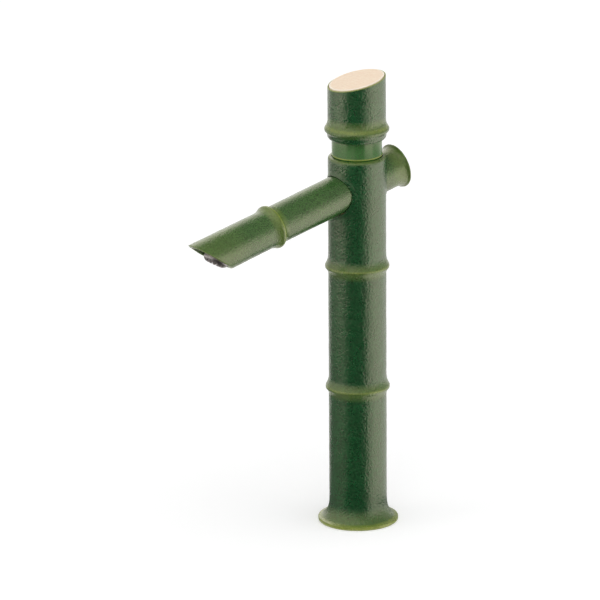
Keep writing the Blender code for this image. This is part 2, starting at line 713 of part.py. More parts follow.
def spindle_parts():
    """The spindle with its disc blade, ring grooves and square, and what rides on it."""
    groove_floor = PISTON_RADIUS - 2 * PISTON_RING_SECTION - O_RING_CLEARANCE
    ring_heights = [guide_z - PISTON_RING_INSET - PISTON_RING_PITCH * i for i in range(2)]
    outline = [(0, headwork_top), (STEM_RADIUS, headwork_top), (STEM_RADIUS, guide_z - FIT),
               (PISTON_RADIUS, guide_z - FIT)]
    for height in ring_heights:
        groove_top = height + PISTON_GROOVE / 2
        groove_bottom = height - PISTON_GROOVE / 2
        outline += [(PISTON_RADIUS, groove_top), (groove_floor, groove_top),
                    (groove_floor, groove_bottom), (PISTON_RADIUS, groove_bottom)]
    outline += [(PISTON_RADIUS, collar_top), (disc_radius, collar_top),
                (disc_radius, collar_bottom), (0, collar_bottom)]
    spindle = turned("spindle", outline, INNER_STEPS, PARTS, handle_pivot)

    across = SQUARE_ACROSS_FLATS
    square = block("spindle_square", (across, across, spindle_top - guide_z),
                   (0, 0, (spindle_top + guide_z) / 2), CUTTERS, handle_pivot)
    blade_bottom = moving_top - BLADE_BITE
    blade_top = collar_top - SPINDLE_COLLAR / 2
    blade = block("spindle_blade", (BLADE_THICKNESS, 2 * PORT_OUTER_RADIUS, blade_top - blade_bottom),
                  (0, 0, (blade_top + blade_bottom) / 2), CUTTERS, handle_pivot)
    joined(spindle, square, blade)
    groove = ring_profile(CLIP_GROOVE_RADIUS, across, clip_bottom - CLIP_CLEARANCE,
                          clip_top + CLIP_CLEARANCE)
    cut(spindle, turned("clip_groove", groove, SMALL_STEPS, CUTTERS, handle_pivot))
    cut(spindle, prism("spindle_tapping", SMALL_STEPS, SCREW_RADIUS + FIT, spindle_top - SCREW_GRIP,
                       spindle_top + OVERRUN, CUTTERS, handle_pivot))
    finished(spindle, BRASS)

    ring_radius = groove_floor + O_RING_CLEARANCE / 2 + FIT / 2 + PISTON_RING_SECTION
    for name, height in zip(("spindle_o_ring_upper", "spindle_o_ring_lower"), ring_heights):
        o_ring(name, ring_radius, PISTON_RING_SECTION, height, handle_pivot)

    thrust = ring_profile(piston_bore, disc_radius, thrust_bottom, thrust_top)
    finished(turned("thrust_washer", thrust, INNER_STEPS, PARTS, handle_pivot), ACETAL)

    stop = prism("stop_ring", SMALL_STEPS, stop_radius, stop_bottom, stop_top, PARTS, handle_pivot)
    joined(stop, sector("stop_tab", stop_radius / 2, crown_outer, 0, STOP_TAB_HALF_ANGLE,
                        stop_bottom, stop_top, CUTTERS, handle_pivot))
    key = across + 2 * FIT
    cut(stop, block("stop_key", (key, key, CROWN_HEIGHT * 2),
                    (0, 0, (stop_bottom + stop_top) / 2), CUTTERS, handle_pivot))
    finished(stop, STEEL)

    clip_inner = CLIP_GROOVE_RADIUS + FIT
    finished(sector("spindle_clip", clip_inner, CLIP_RADIUS, 0, CLIP_HALF_ANGLE,
                    clip_bottom, clip_top, PARTS, handle_pivot), STEEL)

    disc = prism("moving_disc", INNER_STEPS, disc_radius, moving_bottom, moving_top,
                 PARTS, handle_pivot)
    slot_width = BLADE_THICKNESS + 2 * FIT
    slot_depth = BLADE_BITE + FIT
    cut(disc, block("disc_slot", (slot_width, 2 * BARREL_BORE, 2 * slot_depth),
                    (0, 0, moving_top), CUTTERS, handle_pivot))
    for i, name in enumerate(("moving_port_a", "moving_port_b")):
        cut(disc, sector(name, PORT_INNER_RADIUS, PORT_OUTER_RADIUS, 2 * i * QUARTER_TURN,
                         PORT_HALF_ANGLE, moving_bottom - OVERRUN, moving_top + OVERRUN,
                         CUTTERS, handle_pivot))
    finished(disc, CERAMIC)


def headwork_parts():
    """The headwork's body with windows, hexagon and stop crown, its fixed disc and seals."""
    collar_low = hex_bottom - HEADWORK_SHOULDER - HEADWORK_COLLAR
    groove_low = collar_low + HEADWORK_COLLAR
    groove_high = groove_low + HEADWORK_GROOVE
    groove_floor = BARREL_RADIUS - O_RING_CLEARANCE
    outline = [(stem_bore, headwork_top), (HEADWORK_NECK_RADIUS, headwork_top),
               (HEADWORK_NECK_RADIUS, hex_bottom), (THREAD_RADIUS, hex_bottom),
               (THREAD_RADIUS, groove_high), (groove_floor, groove_high),
               (groove_floor, groove_low), (THREAD_RADIUS, groove_low), (THREAD_RADIUS, collar_low),
               (BARREL_RADIUS, collar_low), (BARREL_RADIUS, barrel_bottom),
               (BARREL_BORE, barrel_bottom), (BARREL_BORE, shoulder_z),
               (piston_bore, shoulder_z), (piston_bore, guide_z), (stem_bore, guide_z)]
    body = turned("headwork_body", outline, INNER_STEPS, PARTS)
    hexagon = nut_blank("headwork_hexagon", HEX_ACROSS_FLATS, hex_bottom, hex_top, CUTTERS)
    cut(hexagon, prism("hexagon_bore", INNER_STEPS, piston_bore + CHAMFER, hex_bottom - OVERRUN,
                       hex_top + OVERRUN, CUTTERS))
    crown_half = math.pi - (QUARTER_TURN / 2 + STOP_TAB_HALF_ANGLE + STOP_CLEARANCE)
    crown_middle = math.pi + QUARTER_TURN / 2
    crown = sector("stop_crown", crown_inner, crown_outer, crown_middle, crown_half,
                   guide_z + FIT, headwork_top + CROWN_HEIGHT, CUTTERS)
    joined(body, hexagon, crown)
    window_height = collar_bottom + SPINDLE_COLLAR / 2 - moving_top
    cut(body, block("headwork_windows", (2 * THREAD_RADIUS + OVERRUN, WINDOW_WIDTH, window_height),
                    (0, 0, moving_top + window_height / 2), CUTTERS))
    finished(body, BRASS)

    o_ring("headwork_o_ring", groove_floor + O_RING_CLEARANCE + HEADWORK_RING_SECTION,
           HEADWORK_RING_SECTION, (groove_low + groove_high) / 2)

    disc = prism("fixed_disc", INNER_STEPS, disc_radius, fixed_bottom, fixed_top, PARTS)
    for i, name in enumerate(("fixed_port_a", "fixed_port_b")):
        cut(disc, sector(name, PORT_INNER_RADIUS, PORT_OUTER_RADIUS, (2 * i + 1) * QUARTER_TURN,
                         PORT_HALF_ANGLE, fixed_bottom - OVERRUN, fixed_top + OVERRUN, CUTTERS))
    finished(disc, CERAMIC)

    seal = ring_profile(disc_radius - SEAT_GASKET_WIDTH, disc_radius, gasket_bottom, gasket_top)
    finished(turned("seat_gasket", seal, INNER_STEPS, PARTS), RUBBER)


def nut_blank(name, across_flats, bottom, top, group):
    """Return a hexagon whose corners are turned off top and bottom."""
    corner = across_flats / 2 / math.cos(math.pi / 6)
    item = prism(name, 6, corner, bottom, top, group)
    fall = corner - across_flats / 2
    faces = [(0, top), (across_flats / 2, top), (corner, top - fall / 2),
             (corner, bottom + fall / 2), (across_flats / 2, bottom), (0, bottom)]
    return combine(item, turned(name + "_turning", faces, INNER_STEPS, CUTTERS), "INTERSECT")


def valve_parts():
    """The brass chamber in the column's head, with its seat, sockets and spout port."""
    outline = [(chamber_radius, valve_top), (fitted_radius, valve_top), (fitted_radius, valve_bottom),
               (SEAT_HOLE_RADIUS, valve_bottom), (SEAT_HOLE_RADIUS, seat_z), (chamber_radius, seat_z)]
    body = turned("valve_body", outline, INNER_STEPS, PARTS)
    groove_middle = valve_bottom + PIPE_END_RING_INSET
    socket = socket_profile(socket_top, valve_bottom - OVERRUN, SEAT_HOLE_RADIUS - FIT,
                            seat_z - FIT, groove_middle)
    cut(body, turned("riser_socket_upper", socket, INNER_STEPS, CUTTERS))
    cut(body, prism("spout_port", INNER_STEPS, socket_radius, port_start,
                    fitted_radius + OVERRUN, CUTTERS, spout_frame))
    cut(body, prism("spot_face", INNER_STEPS, SPOT_FACE_RADIUS, spot_face_at,
                    fitted_radius + OVERRUN, CUTTERS, spout_frame))
    finished(body, BRASS)
    o_ring("riser_o_ring_upper", ring_centre, O_RING_SECTION, groove_middle)

    riser = ring_profile(pipe_bore, PIPE_RADIUS, riser_bottom, riser_top)
    finished(turned("riser_tube", riser, SMALL_STEPS, PARTS), COPPER)


def outlet_parts():
    """The pipe inside the spout, and the socket that turns the water into the aerator."""
    socket_mouth = floor_on_axis - OUTLET_FLOOR_AHEAD - OUTLET_SOCKET_LENGTH - SOCKET_DEPTH / 2
    socket_end = socket_mouth + OUTLET_SOCKET_LENGTH
    pipe_end = socket_end - FIT
    outline = [(pipe_bore, pipe_end), (PIPE_RADIUS, pipe_end), (PIPE_RADIUS, pipe_plain_at),
               (COLLAR_RADIUS, pipe_plain_at), (COLLAR_RADIUS, pipe_collar_at),
               (PIPE_RADIUS, pipe_collar_at), (PIPE_RADIUS, pipe_start), (pipe_bore, pipe_start)]
    finished(turned("spout_tube", outline, SMALL_STEPS, PARTS, spout_frame), COPPER)
    gasket = ring_profile(socket_radius, COLLAR_RADIUS, spout_gasket_at,
                          spout_gasket_at + SPOUT_GASKET)
    finished(turned("spout_gasket", gasket, SMALL_STEPS, PARTS, spout_frame), RUBBER)

    plug_end = spout_cut_at - OUTLET_RECESS
    plug = [(0, plug_end), (spout_bore - FIT, plug_end), (spout_bore - FIT, socket_mouth),
            (0, socket_mouth)]
    socket = turned("outlet_socket", plug, INNER_STEPS, PARTS, spout_frame)
    slanted(socket, plug_end - OVERRUN, spout_slope, Vector((0, -1)))
    groove_middle = socket_mouth + PIPE_END_RING_INSET
    passage = socket_profile(socket_end, socket_mouth - OVERRUN, pipe_bore,
                             floor_on_axis + OUTLET_FLOOR_AHEAD, groove_middle)
    cut(socket, turned("outlet_passage", passage, INNER_STEPS, CUTTERS, spout_frame))
    cut(socket, prism("aerator_pocket", INNER_STEPS, pocket_radius, -AERATOR_DEPTH,
                      OVERRUN, CUTTERS, aerator_frame))
    finished(socket, BRASS)
    o_ring("spout_o_ring", ring_centre, O_RING_SECTION, groove_middle, spout_frame)


def aerator_parts():
    """The aerator: a notched housing, a honeycomb disc behind its lip, and a gasket."""
    bore = AERATOR_RADIUS - AERATOR_WALL
    gasket_low = -AERATOR_DEPTH + FIT
    gasket_high = gasket_low + AERATOR_GASKET
    housing_low = gasket_high + FIT
    lip_low = AERATOR_PROUD - AERATOR_MOUTH
    outline = [(bore - AERATOR_LIP, AERATOR_PROUD), (AERATOR_RADIUS - CHAMFER, AERATOR_PROUD),
               (AERATOR_RADIUS, AERATOR_PROUD - CHAMFER), (AERATOR_RADIUS, housing_low),
               (bore, housing_low), (bore, lip_low), (bore - AERATOR_LIP, lip_low)]
    housing = turned("aerator_housing", outline, SMALL_STEPS * 2, PARTS, aerator_frame)
    for i in range(AERATOR_NOTCHES // 2):
        cut(housing, block(f"aerator_notch_{i}", (3 * AERATOR_RADIUS, NOTCH_WIDTH, 2 * NOTCH_DEPTH),
                           (0, 0, AERATOR_PROUD), CUTTERS, aerator_frame,
                           2 * math.pi * i / AERATOR_NOTCHES))
    finished(housing, CHROME)

    gasket = ring_profile(PIPE_RADIUS, AERATOR_RADIUS, gasket_low, gasket_high)
    finished(turned("aerator_gasket", gasket, SMALL_STEPS, PARTS, aerator_frame), RUBBER)

    disc_high = lip_low - FIT
    disc_low = disc_high - STRAIGHTENER_THICKNESS
    disc = prism("flow_straightener", SMALL_STEPS, bore - FIT, disc_low, disc_high,
                 PARTS, aerator_frame)
    for x, y in honeycomb(STRAIGHTENER_RINGS, STRAIGHTENER_PITCH):
        hole = prism("straightener_hole", HOLE_STEPS, STRAIGHTENER_HOLE_RADIUS, disc_low - OVERRUN,
                     disc_high + OVERRUN, CUTTERS, aerator_frame)
        hole.location.x = x
        hole.location.y = y
        cut(disc, hole)
    finished(disc, ACETAL)


def honeycomb(rings, pitch):
    """Return the centres of a hexagonal pattern with this many rings round its middle."""
    centres = []
    for a in range(-rings, rings + 1):
        for b in range(-rings, rings + 1):
            if abs(a + b) <= rings:
                centres.append((pitch * (a + b / 2), pitch * b * math.sin(math.pi / 3)))
    return centres


def inlet_parts():
    """The threaded tail in the column's foot, and what clamps the tap to its deck."""
    outline = [(SPIGOT_RADIUS, spigot_top), (SPIGOT_RADIUS, spigot_bottom),
               (fitted_radius, spigot_bottom), (fitted_radius, SHANK_COLLAR_LOW),
               (SHANK_RADIUS, SHANK_COLLAR_LOW), (SHANK_RADIUS, CHAMFER - SHANK_BELOW_DECK),
               (SHANK_RADIUS - CHAMFER, -SHANK_BELOW_DECK)]
    bore = [(SHANK_BORE, -SHANK_BELOW_DECK), (SHANK_BORE, spigot_bottom),
            (pipe_bore, spigot_bottom), (pipe_bore, spigot_floor_top),
            (socket_radius, spigot_floor_top)]
    groove_middle = spigot_top - PIPE_END_RING_INSET
    half = O_RING_GROOVE / 2
    bore += [(socket_radius, groove_middle - half), (ring_groove_radius, groove_middle - half),
             (ring_groove_radius, groove_middle + half), (socket_radius, groove_middle + half),
             (socket_radius, spigot_top)]
    finished(turned("inlet_shank", outline + bore, INNER_STEPS, PARTS), BRASS)
    o_ring("riser_o_ring_lower", ring_centre, O_RING_SECTION, groove_middle)

    shank_hole = SHANK_RADIUS + FIT
    gasket_low = -DECK_THICKNESS - DECK_GASKET
    gasket = ring_profile(shank_hole, DECK_GASKET_RADIUS, gasket_low, -DECK_THICKNESS)
    finished(turned("deck_gasket", gasket, INNER_STEPS, PARTS), RUBBER)
    washer_high = gasket_low - FIT
    washer_low = washer_high - DECK_WASHER
    washer = ring_profile(shank_hole, DECK_WASHER_RADIUS, washer_low, washer_high)
    finished(turned("deck_washer", washer, INNER_STEPS, PARTS), STEEL)
    nut_top = washer_low - FIT
    nut = nut_blank("lock_nut", NUT_ACROSS_FLATS, nut_top - NUT_HEIGHT, nut_top, PARTS)
    cut(nut, prism("nut_bore", INNER_STEPS, shank_hole, nut_top - NUT_HEIGHT - OVERRUN,
                   nut_top + OVERRUN, CUTTERS))
    finished(nut, BRASS)


column_parts()
spout_parts()
neck_parts()
handle_parts()
hub_parts()
spindle_parts()
headwork_parts()
valve_parts()
outlet_parts()
aerator_parts()
inlet_parts()
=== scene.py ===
"""Looks of the bamboo pillar tap: its cast green skin, pale insert, bright outlet and threads.

Lengths are in metres. The column's axis is +Z, the deck is z = 0 and the spout points along -Y.
"""

import json
import math

import bmesh
import bpy
import numpy as np
from mathutils import Matrix, Vector


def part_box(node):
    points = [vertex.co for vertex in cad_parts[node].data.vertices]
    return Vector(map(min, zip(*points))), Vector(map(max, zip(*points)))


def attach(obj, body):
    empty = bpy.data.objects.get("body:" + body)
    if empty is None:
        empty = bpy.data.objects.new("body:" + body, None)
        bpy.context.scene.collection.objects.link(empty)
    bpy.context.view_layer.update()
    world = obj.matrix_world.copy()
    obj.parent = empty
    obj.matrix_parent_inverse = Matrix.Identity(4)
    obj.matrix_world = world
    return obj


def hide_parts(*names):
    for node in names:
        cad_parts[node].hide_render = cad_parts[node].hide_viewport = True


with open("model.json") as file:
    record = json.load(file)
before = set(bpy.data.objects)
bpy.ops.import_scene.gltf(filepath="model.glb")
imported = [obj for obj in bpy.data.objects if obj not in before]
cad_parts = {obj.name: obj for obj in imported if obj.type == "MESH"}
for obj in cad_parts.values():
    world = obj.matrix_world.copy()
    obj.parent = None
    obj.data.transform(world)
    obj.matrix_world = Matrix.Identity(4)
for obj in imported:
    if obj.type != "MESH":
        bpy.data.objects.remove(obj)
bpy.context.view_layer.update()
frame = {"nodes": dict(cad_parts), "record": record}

MM = 0.001
FIT = 0.3 * MM
QUARTER_TURN = math.radians(90.0)
FULL_TURN = 2 * math.pi

# Column
COLUMN_RADIUS = 18.0 * MM
COLUMN_BORE = 15.8 * MM
COLUMN_TOP_ROUND = 2.0 * MM
FOOT_RIM = 2.4 * MM
FOOT_FLARE = 11.2 * MM
FOOT_EDGE = 0.5 * MM
NODE_RADIUS = 20.0 * MM
NODE_FLARE = 7.2 * MM
NODE_RETURN = 4.7 * MM
NODE_CREST = 1.4 * MM
LOWER_NODE_Z = 87.3 * MM
UPPER_NODE_Z = 165.2 * MM
LIP_CROWN = 13.2 * MM
LIP_FOOT = 14.4 * MM
LIP_RISE = 0.4 * MM
GASKET_GROOVE = (17.7 * MM, 22.3 * MM)
GASKET_GROOVE_DEPTH = 1.8 * MM

# Spout and stub, measured from where their axis crosses the column's
SPOUT_BELOW_TOP = 18.9 * MM
SPOUT_DROOP = math.radians(12.1)
SPOUT_RADIUS = 12.0 * MM
SPOUT_MOUTH_RADIUS = 12.3 * MM
SPOUT_BORE = 10.0 * MM
SPOUT_REACH = 128.5 * MM
SPOUT_CUT_ANGLE = math.radians(44.4)
SPOUT_CUT_FROM = 92.0 * MM
SPOUT_NODE_AT = 68.6 * MM
SPOUT_NODE_RADIUS = 13.9 * MM
SPOUT_NODE_FLARE = 6.8 * MM
SPOUT_NODE_RETURN = 5.2 * MM
# The lip that shows has its own angle, and the outlet stands on the solid's cut, above
MOUTH_ANGLE = math.radians(46.6)
MOUTH_EDGE = 0.9 * MM
MOUTH_HIGHLIGHT_HALF = 1.3 * MM
SPOUT_FADE = 26.0 * MM
ROOT_FROM = 8.0 * MM
ROOT_TO = 24.0 * MM
STUB_REACH = 32.1 * MM
STUB_END_RADIUS = 14.2 * MM
STUB_FLARE = 6.5 * MM
STUB_RIM = 1.2 * MM
STUB_EDGE = 0.4 * MM
STUB_PAINTED_LIGHT_REACH = 14.0 * MM
STUB_RECESS = 2.0 * MM
STUB_RECESS_RADIUS = 12.6 * MM
STUB_HOLLOW_END = 27.6 * MM

# Neck and handle
NECK_RADIUS = 15.5 * MM
NECK_BORE = 13.6 * MM
NECK_FLANGE_BORE = 10.8 * MM
NECK_FLANGE = 2.4 * MM
NECK_EDGE = 0.5 * MM
BEAD_RISE = 0.35 * MM
BEAD_HEIGHT = 1.3 * MM
HANDLE_RADIUS = 18.0 * MM
HANDLE_AXIS_HEIGHT = 38.2 * MM
HANDLE_SLANT = math.tan(math.radians(12.6))
HANDLE_LOW_HEADING = math.radians(20.0)
HANDLE_SLANT_FROM = 17.0 * MM
HANDLE_NODE_RADIUS = 20.1 * MM
HANDLE_NODE_UP = 7.4 * MM
HANDLE_NODE_FLARE = 6.4 * MM
HANDLE_NODE_RETURN = 3.4 * MM
HANDLE_LIP_RADIUS = 18.3 * MM
HANDLE_LIP_ROUND = 2.2 * MM
HANDLE_CREST_UP = 2.2 * MM
# The skirt that shows ends this far above the solid's
SKIRT_SHORT = 1.5 * MM
SKIRT_BORE = 16.0 * MM
WEB_BORE = 8.5 * MM
WEB_UP = (11.8 * MM, 15.5 * MM)
HANDLE_BORE = 15.6 * MM
RIM_BORE = 17.3 * MM
RIM_EDGE = 0.33 * MM
INSERT_THICKNESS = 3.0 * MM
INSERT_PROUD = 0.28 * MM
INSERT_RADIUS = 17.0 * MM
INSERT_EDGE = 0.45 * MM

# Outlet, measured out from the spout's slanted cut
OUTLET_BELOW_AXIS = 4.8 * MM
CROWN_RADIUS = 8.0 * MM
CROWN_BORE = 6.6 * MM
CROWN_MOUTH_BORE = 5.8 * MM
CROWN_PROUD = 3.1 * MM
CROWN_MOUTH = 1.8 * MM
CROWN_LOW = -5.5 * MM
CROWN_EDGE = 0.25 * MM
CROWN_TEETH = 12
TOOTH_HEIGHT = 0.9 * MM
TOOTH_ROOT = 0.2 * MM
TOOTH_STEPS = 8
NOTCH_WIDTH = 1.0 * MM
DOME_FROM = 0.4 * MM
DOME_TAPER_SHARE = 0.3
DOME_STEPS = 4

# Tail and deck fixing
TAIL_RADIUS = 10.48 * MM
TAIL_BORE = 7.5 * MM
COLLAR = (1.0 * MM, 9.0 * MM)
SPIGOT_RADIUS = 9.6 * MM
SPIGOT_BORE = 6.3 * MM
SPIGOT_FLOOR = 2.0 * MM
RISER_BORE = 5.0 * MM
RING_GROOVE_RADIUS = 8.0 * MM
RING_GROOVE_BELOW = (2.1 * MM, 4.3 * MM)
THREAD_PITCH = 1.814 * MM
THREAD_DEPTH = 1.1 * MM
THREAD_SEAT = 0.1 * MM
THREAD_ROOT_WIDTH = 1.6 * MM
THREAD_CREST_WIDTH = 0.4 * MM
THREAD_TOP = -2.5 * MM
THREAD_START = 1.4 * MM
THREAD_FADE_SHARE = 0.02
THREAD_TIP_SHARE = 0.1
THREAD_STEPS = 48
NUT_SIDES = 6
NUT_ACROSS_FLATS = 30.0 * MM
FIXING_BORE = 10.78 * MM
BASE_GASKET_BORE = 18.0 * MM
SMALL_EDGE = 0.3 * MM

# Cast skin
LEATHER_GRAIN = 1.3 * MM
LEATHER_DEPTH = 0.08 * MM
DENT_SIZE = 7.0 * MM
DENT_DEPTH = 0.12 * MM
CAST_SEEDS = {"column_body": 1.0, "spout_shell": 2.0, "rear_stub": 3.0, "handle_shell": 4.0}
FINE_STEP = 0.2 * MM
SKIN_STEP = 0.62 * MM
SKIN_BEND = math.radians(14.0)
SOFTENING = 5
ROUND_AROUND = 192
SPOUT_AROUND = 160
SMALL_AROUND = 96
CURVE_POINTS = 12
EDGE_POINTS = 5
SMOOTH_ANGLE = math.radians(40.0)
WELD = MM / 1000

# Lighter green painted on crests, edges and flares, partly worn enamel and partly painted highlight
# and painted light: its reach from a crest or an edge, and its share there
CREST_HALF = 0.9 * MM
PAINTED_LIGHT_HALF = 6.0 * MM
NODE_WEAR_AND_HIGHLIGHT_SHARE = 0.6
NODE_PAINTED_LIGHT_SHARE = 0.3
FOOT_PAINTED_LIGHT_SHARE = 0.25
EDGE_HIGHLIGHT_SHARE = 0.35
SPOUT_WEAR_AND_HIGHLIGHT_SHARE = 0.8
SPOUT_PAINTED_LIGHT_SHARE = 0.35
MOUTH_HIGHLIGHT_SHARE = 0.45
MOUTH_FADE_SHARE = 0.13
STUB_PAINTED_LIGHT_SHARE = 0.25
BEAD_HIGHLIGHT_SHARE = 0.9

# Enamels
SOFT_STEP = (0.3, 0.7)
# Lighter yellow-green on crests, edges and flares: partly worn enamel, partly painted highlight and
# painted light
WEAR_AND_HIGHLIGHT_GREEN = (0.27, 0.33, 0.05)
ENAMEL_IOR = 1.85
ENAMEL_SPECULAR = 0.88
ENAMEL_TINT = (1.0, 0.9, 0.68)
ENAMEL_CLOUD = 14.0 * MM
ENAMEL_PATCH = 2.2 * MM
PATCH_SHARES = (0.55, 1.3)
ENAMEL_SHEEN = 5.0 * MM
ENAMEL_SHEEN_SPREAD = 0.06
PORE_STEP = (0.36, 0.56)
PORE_SHADE_SHARE = 0.7
FINE_GRAIN_SHARE = 0.4
FINE_DEPTH_SHARE = 0.2
COLUMN_GREENS = ((0.001, 0.074, 0.019), (0.004, 0.094, 0.025))
COLUMN_GLOSS = 0.28
COLUMN_GRAIN_DEPTH = 0.32 * MM
# The spout and stub carry the column's enamel painted lighter: painted light from above on these
# lying tubes
SPOUT_LIT_GREENS = ((0.036, 0.112, 0.025), (0.050, 0.138, 0.031))
SPOUT_GLOSS = 0.25
SPOUT_GRAIN_SHARE = 0.75
SPOUT_GRAIN_DEPTH = 0.2 * MM
NECK_GREENS = ((0.010, 0.122, 0.014), (0.016, 0.140, 0.018))
NECK_GLOSS = 0.24
NECK_CLOUD = 9.0 * MM
NECK_SHEEN = 3.0 * MM
NECK_SHEEN_SPREAD = 0.04
NECK_RIPPLE = 0.7 * MM
NECK_RIPPLE_DEPTH = 0.006 * MM

# Wood, metals and moulded pieces
WOOD_TONES = ((0.87, 0.67, 0.475), (0.92, 0.76, 0.575))
WOOD_STREAK = (0.77, 0.54, 0.38)
WOOD_STREAK_SHARE = 0.6
# A painted highlight along the insert's edge
WOOD_EDGE_HIGHLIGHT = (0.94, 0.84, 0.70)
WOOD_GLOSS = 0.45
WOOD_SHEEN_SPREAD = 0.07
WOOD_TURN = math.radians(62.0)
WOOD_STRETCH = 7.0
WOOD_GRAIN = 6.0 * MM
WOOD_GRAIN_STEP = (0.36, 0.66)
WOOD_FIBRE = 1.6 * MM
WOOD_FIBRE_STEP = (0.48, 0.68)
WOOD_FIBRE_DEPTH = 0.02 * MM
METAL_STAIN = 3.0 * MM
METAL_STAIN_STEP = (0.35, 0.7)
METAL_TARNISH_SHARE = 0.24
METAL_GLOSS_SHARES = (0.75, 1.35)
METAL_SHEEN_SHARE = 0.3
METAL_RIPPLE_SHARE = 0.12
METAL_RIPPLE_DEPTH = 0.008 * MM
CHROME_STAIN = 1.6 * MM
CHROME_TARNISH_SHARE = 0.32
MOULDED_CLOUD = 6.0 * MM
MOULDED_SHADE_SHARE = 0.86
MOULDED_SHEEN = 2.0 * MM
MOULDED_GLOSS_SHARES = (0.85, 1.15)
MOULDED_RIPPLE = 0.4 * MM
MOULDED_RIPPLE_DEPTH = 0.01 * MM

# Studio
CAMERA_AZIMUTH = math.radians(51.9)
CAMERA_HEIGHT = math.radians(17.37)
CAMERA_ROLL = math.radians(-0.367)
CAMERA_DISTANCE = 4.0
CAMERA_SENSOR = 36.0
CAMERA_LENS = 388.8
CAMERA_SIGHT = 100.0
VIEW_CENTRE = Vector((-21.9 * MM, -27.85 * MM, 142.85 * MM))
FLOOR_SIZE = 6.0
FLOOR_GREY = 0.85
FLOOR_REACH = (0.1, 3.0)
FLOOR_GLOW = (0.28, 0.77)
ROOM_LIGHT = 0.55
PANEL_DISTANCE = 2.9
PANEL_STEPS = 24
PANEL_LIFT = 0.2 * MM
AT_FOOT = (26.5 * MM, PANEL_LIFT)
PAST_FOOT = (50.0 * MM, PANEL_LIFT)
HALF_WAY = (0.8, PANEL_LIFT)
FAR_OFF = (PANEL_DISTANCE, PANEL_LIFT)

column_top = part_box("column_body")[1].z
foot_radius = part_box("column_body")[1].x
spout_axis_z = column_top - SPOUT_BELOW_TOP
mouth_slope = 1.0 / math.tan(MOUTH_ANGLE)
mouth_at = SPOUT_REACH - SPOUT_MOUTH_RADIUS * mouth_slope
spout_cut_at = SPOUT_REACH - SPOUT_MOUTH_RADIUS / math.tan(SPOUT_CUT_ANGLE)
handle_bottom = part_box("handle_shell")[0].z
handle_top = handle_bottom + HANDLE_AXIS_HEIGHT
handle_ledge = handle_top - INSERT_THICKNESS

handle_low = np.array((-math.sin(HANDLE_LOW_HEADING), -math.cos(HANDLE_LOW_HEADING)))
spout_low = np.array((0.0, -1.0))
spout_place = (Matrix.Translation((0, 0, spout_axis_z))
               @ Matrix.Rotation(QUARTER_TURN + SPOUT_DROOP, 4, "X"))
stub_place = (Matrix.Translation((0, 0, spout_axis_z))
              @ Matrix.Rotation(SPOUT_DROOP - QUARTER_TURN, 4, "X"))
outlet_y = -OUTLET_BELOW_AXIS * math.sin(SPOUT_CUT_ANGLE)
outlet_s = spout_cut_at - OUTLET_BELOW_AXIS * math.cos(SPOUT_CUT_ANGLE)
outlet_place = (spout_place @ Matrix.Translation((0, outlet_y, outlet_s))
                @ Matrix.Rotation(QUARTER_TURN - SPOUT_CUT_ANGLE, 4, "X"))

slot_of = {row["node"]: row["material_slot"] for row in frame["record"]["subparts"]}
body_of = {node: body for body, nodes in frame["record"]["behaviour"]["bodies"].items()
           for node in nodes}


def add_node(tree, kind, inputs=None, **settings):
    """Add a node; inputs maps its sockets to values, or to the sockets that feed them."""
    made = tree.nodes.new(kind)
    for name, value in settings.items():
        setattr(made, name, value)
    for name, value in (inputs or {}).items():
        if isinstance(value, bpy.types.NodeSocket):
            tree.links.new(value, made.inputs[name])
        else:
            made.inputs[name].default_value = value
    return made


class Finish:
    """A material whose pattern lies in the piece's own space."""

    def __init__(self, name, roughness, metallic=0.0):
        self.material = bpy.data.materials.new(name)
        self.material.use_nodes = True
        self.tree = self.material.node_tree
        self.shader = self.tree.nodes["Principled BSDF"]
        self.shader.inputs["Roughness"].default_value = roughness
        self.shader.inputs["Metallic"].default_value = metallic
        self.place = self.add("ShaderNodeTexCoord").outputs["Object"]

    def add(self, kind, inputs=None, **settings):
        """Add a node to this material."""
        return add_node(self.tree, kind, inputs, **settings)

    def noise(self, size, detail=2.0, roughness=0.5, vector=None):
        """Return a grey value whose blotches are about this size."""
        return self.add("ShaderNodeTexNoise", {"Vector": vector or self.place, "Scale": 1.0 / size,
                                               "Detail": detail, "Roughness": roughness}
                        ).outputs["Fac"]

    def step(self, value, low, high):
        """Return 0 below low and 1 above high, with a soft step between."""
        return self.add("ShaderNodeMapRange", {"Value": value, "From Min": low, "From Max": high},
                        interpolation_type="SMOOTHSTEP").outputs["Result"]

    def spread(self, value, low, high):
        """Return a 0 to 1 value laid out between low and high."""
        return self.add("ShaderNodeMapRange", {"Value": value, "To Min": low, "To Max": high}
                        ).outputs["Result"]

    def sheen(self, size, low, high):
        """Return a roughness between low and high, in blotches of about this size."""
        return self.spread(self.noise(size, detail=3.0), low, high)

    def mixed(self, share, first, second):
        """Return a colour between two."""
        first, second = [(*c, 1.0) if isinstance(c, tuple) else c for c in (first, second)]
        return self.add("ShaderNodeMix", {0: share, 6: first, 7: second},
                        data_type="RGBA").outputs[2]

    def mark(self, name):
        """Return a value that the mesh carries at its points."""
        return self.add("ShaderNodeAttribute", attribute_name=name).outputs["Fac"]

    def bump(self, height, distance, under=None):
        """Add relief of this height in metres, over another one if given."""
        made = self.add("ShaderNodeBump", {"Strength": 1.0, "Distance": distance, "Height": height})
        if under is not None:
            self.tree.links.new(under, made.inputs["Normal"])
        return made.outputs["Normal"]

    def worn(self, colour, roughness, normal):
        """Drive the shader's colour, roughness and relief, and return the material."""
        for name, value in (("Base Color", colour), ("Roughness", roughness), ("Normal", normal)):
            self.tree.links.new(value, self.shader.inputs[name])
        return self.material


def enamel(name, gloss):
    """Start an enamel, which mirrors more than plain paint and a little yellow."""
    finish = Finish(name, gloss)
    finish.shader.inputs["IOR"].default_value = ENAMEL_IOR
    finish.shader.inputs["Specular IOR Level"].default_value = ENAMEL_SPECULAR
    finish.shader.inputs["Specular Tint"].default_value = (*ENAMEL_TINT, 1.0)
    return finish


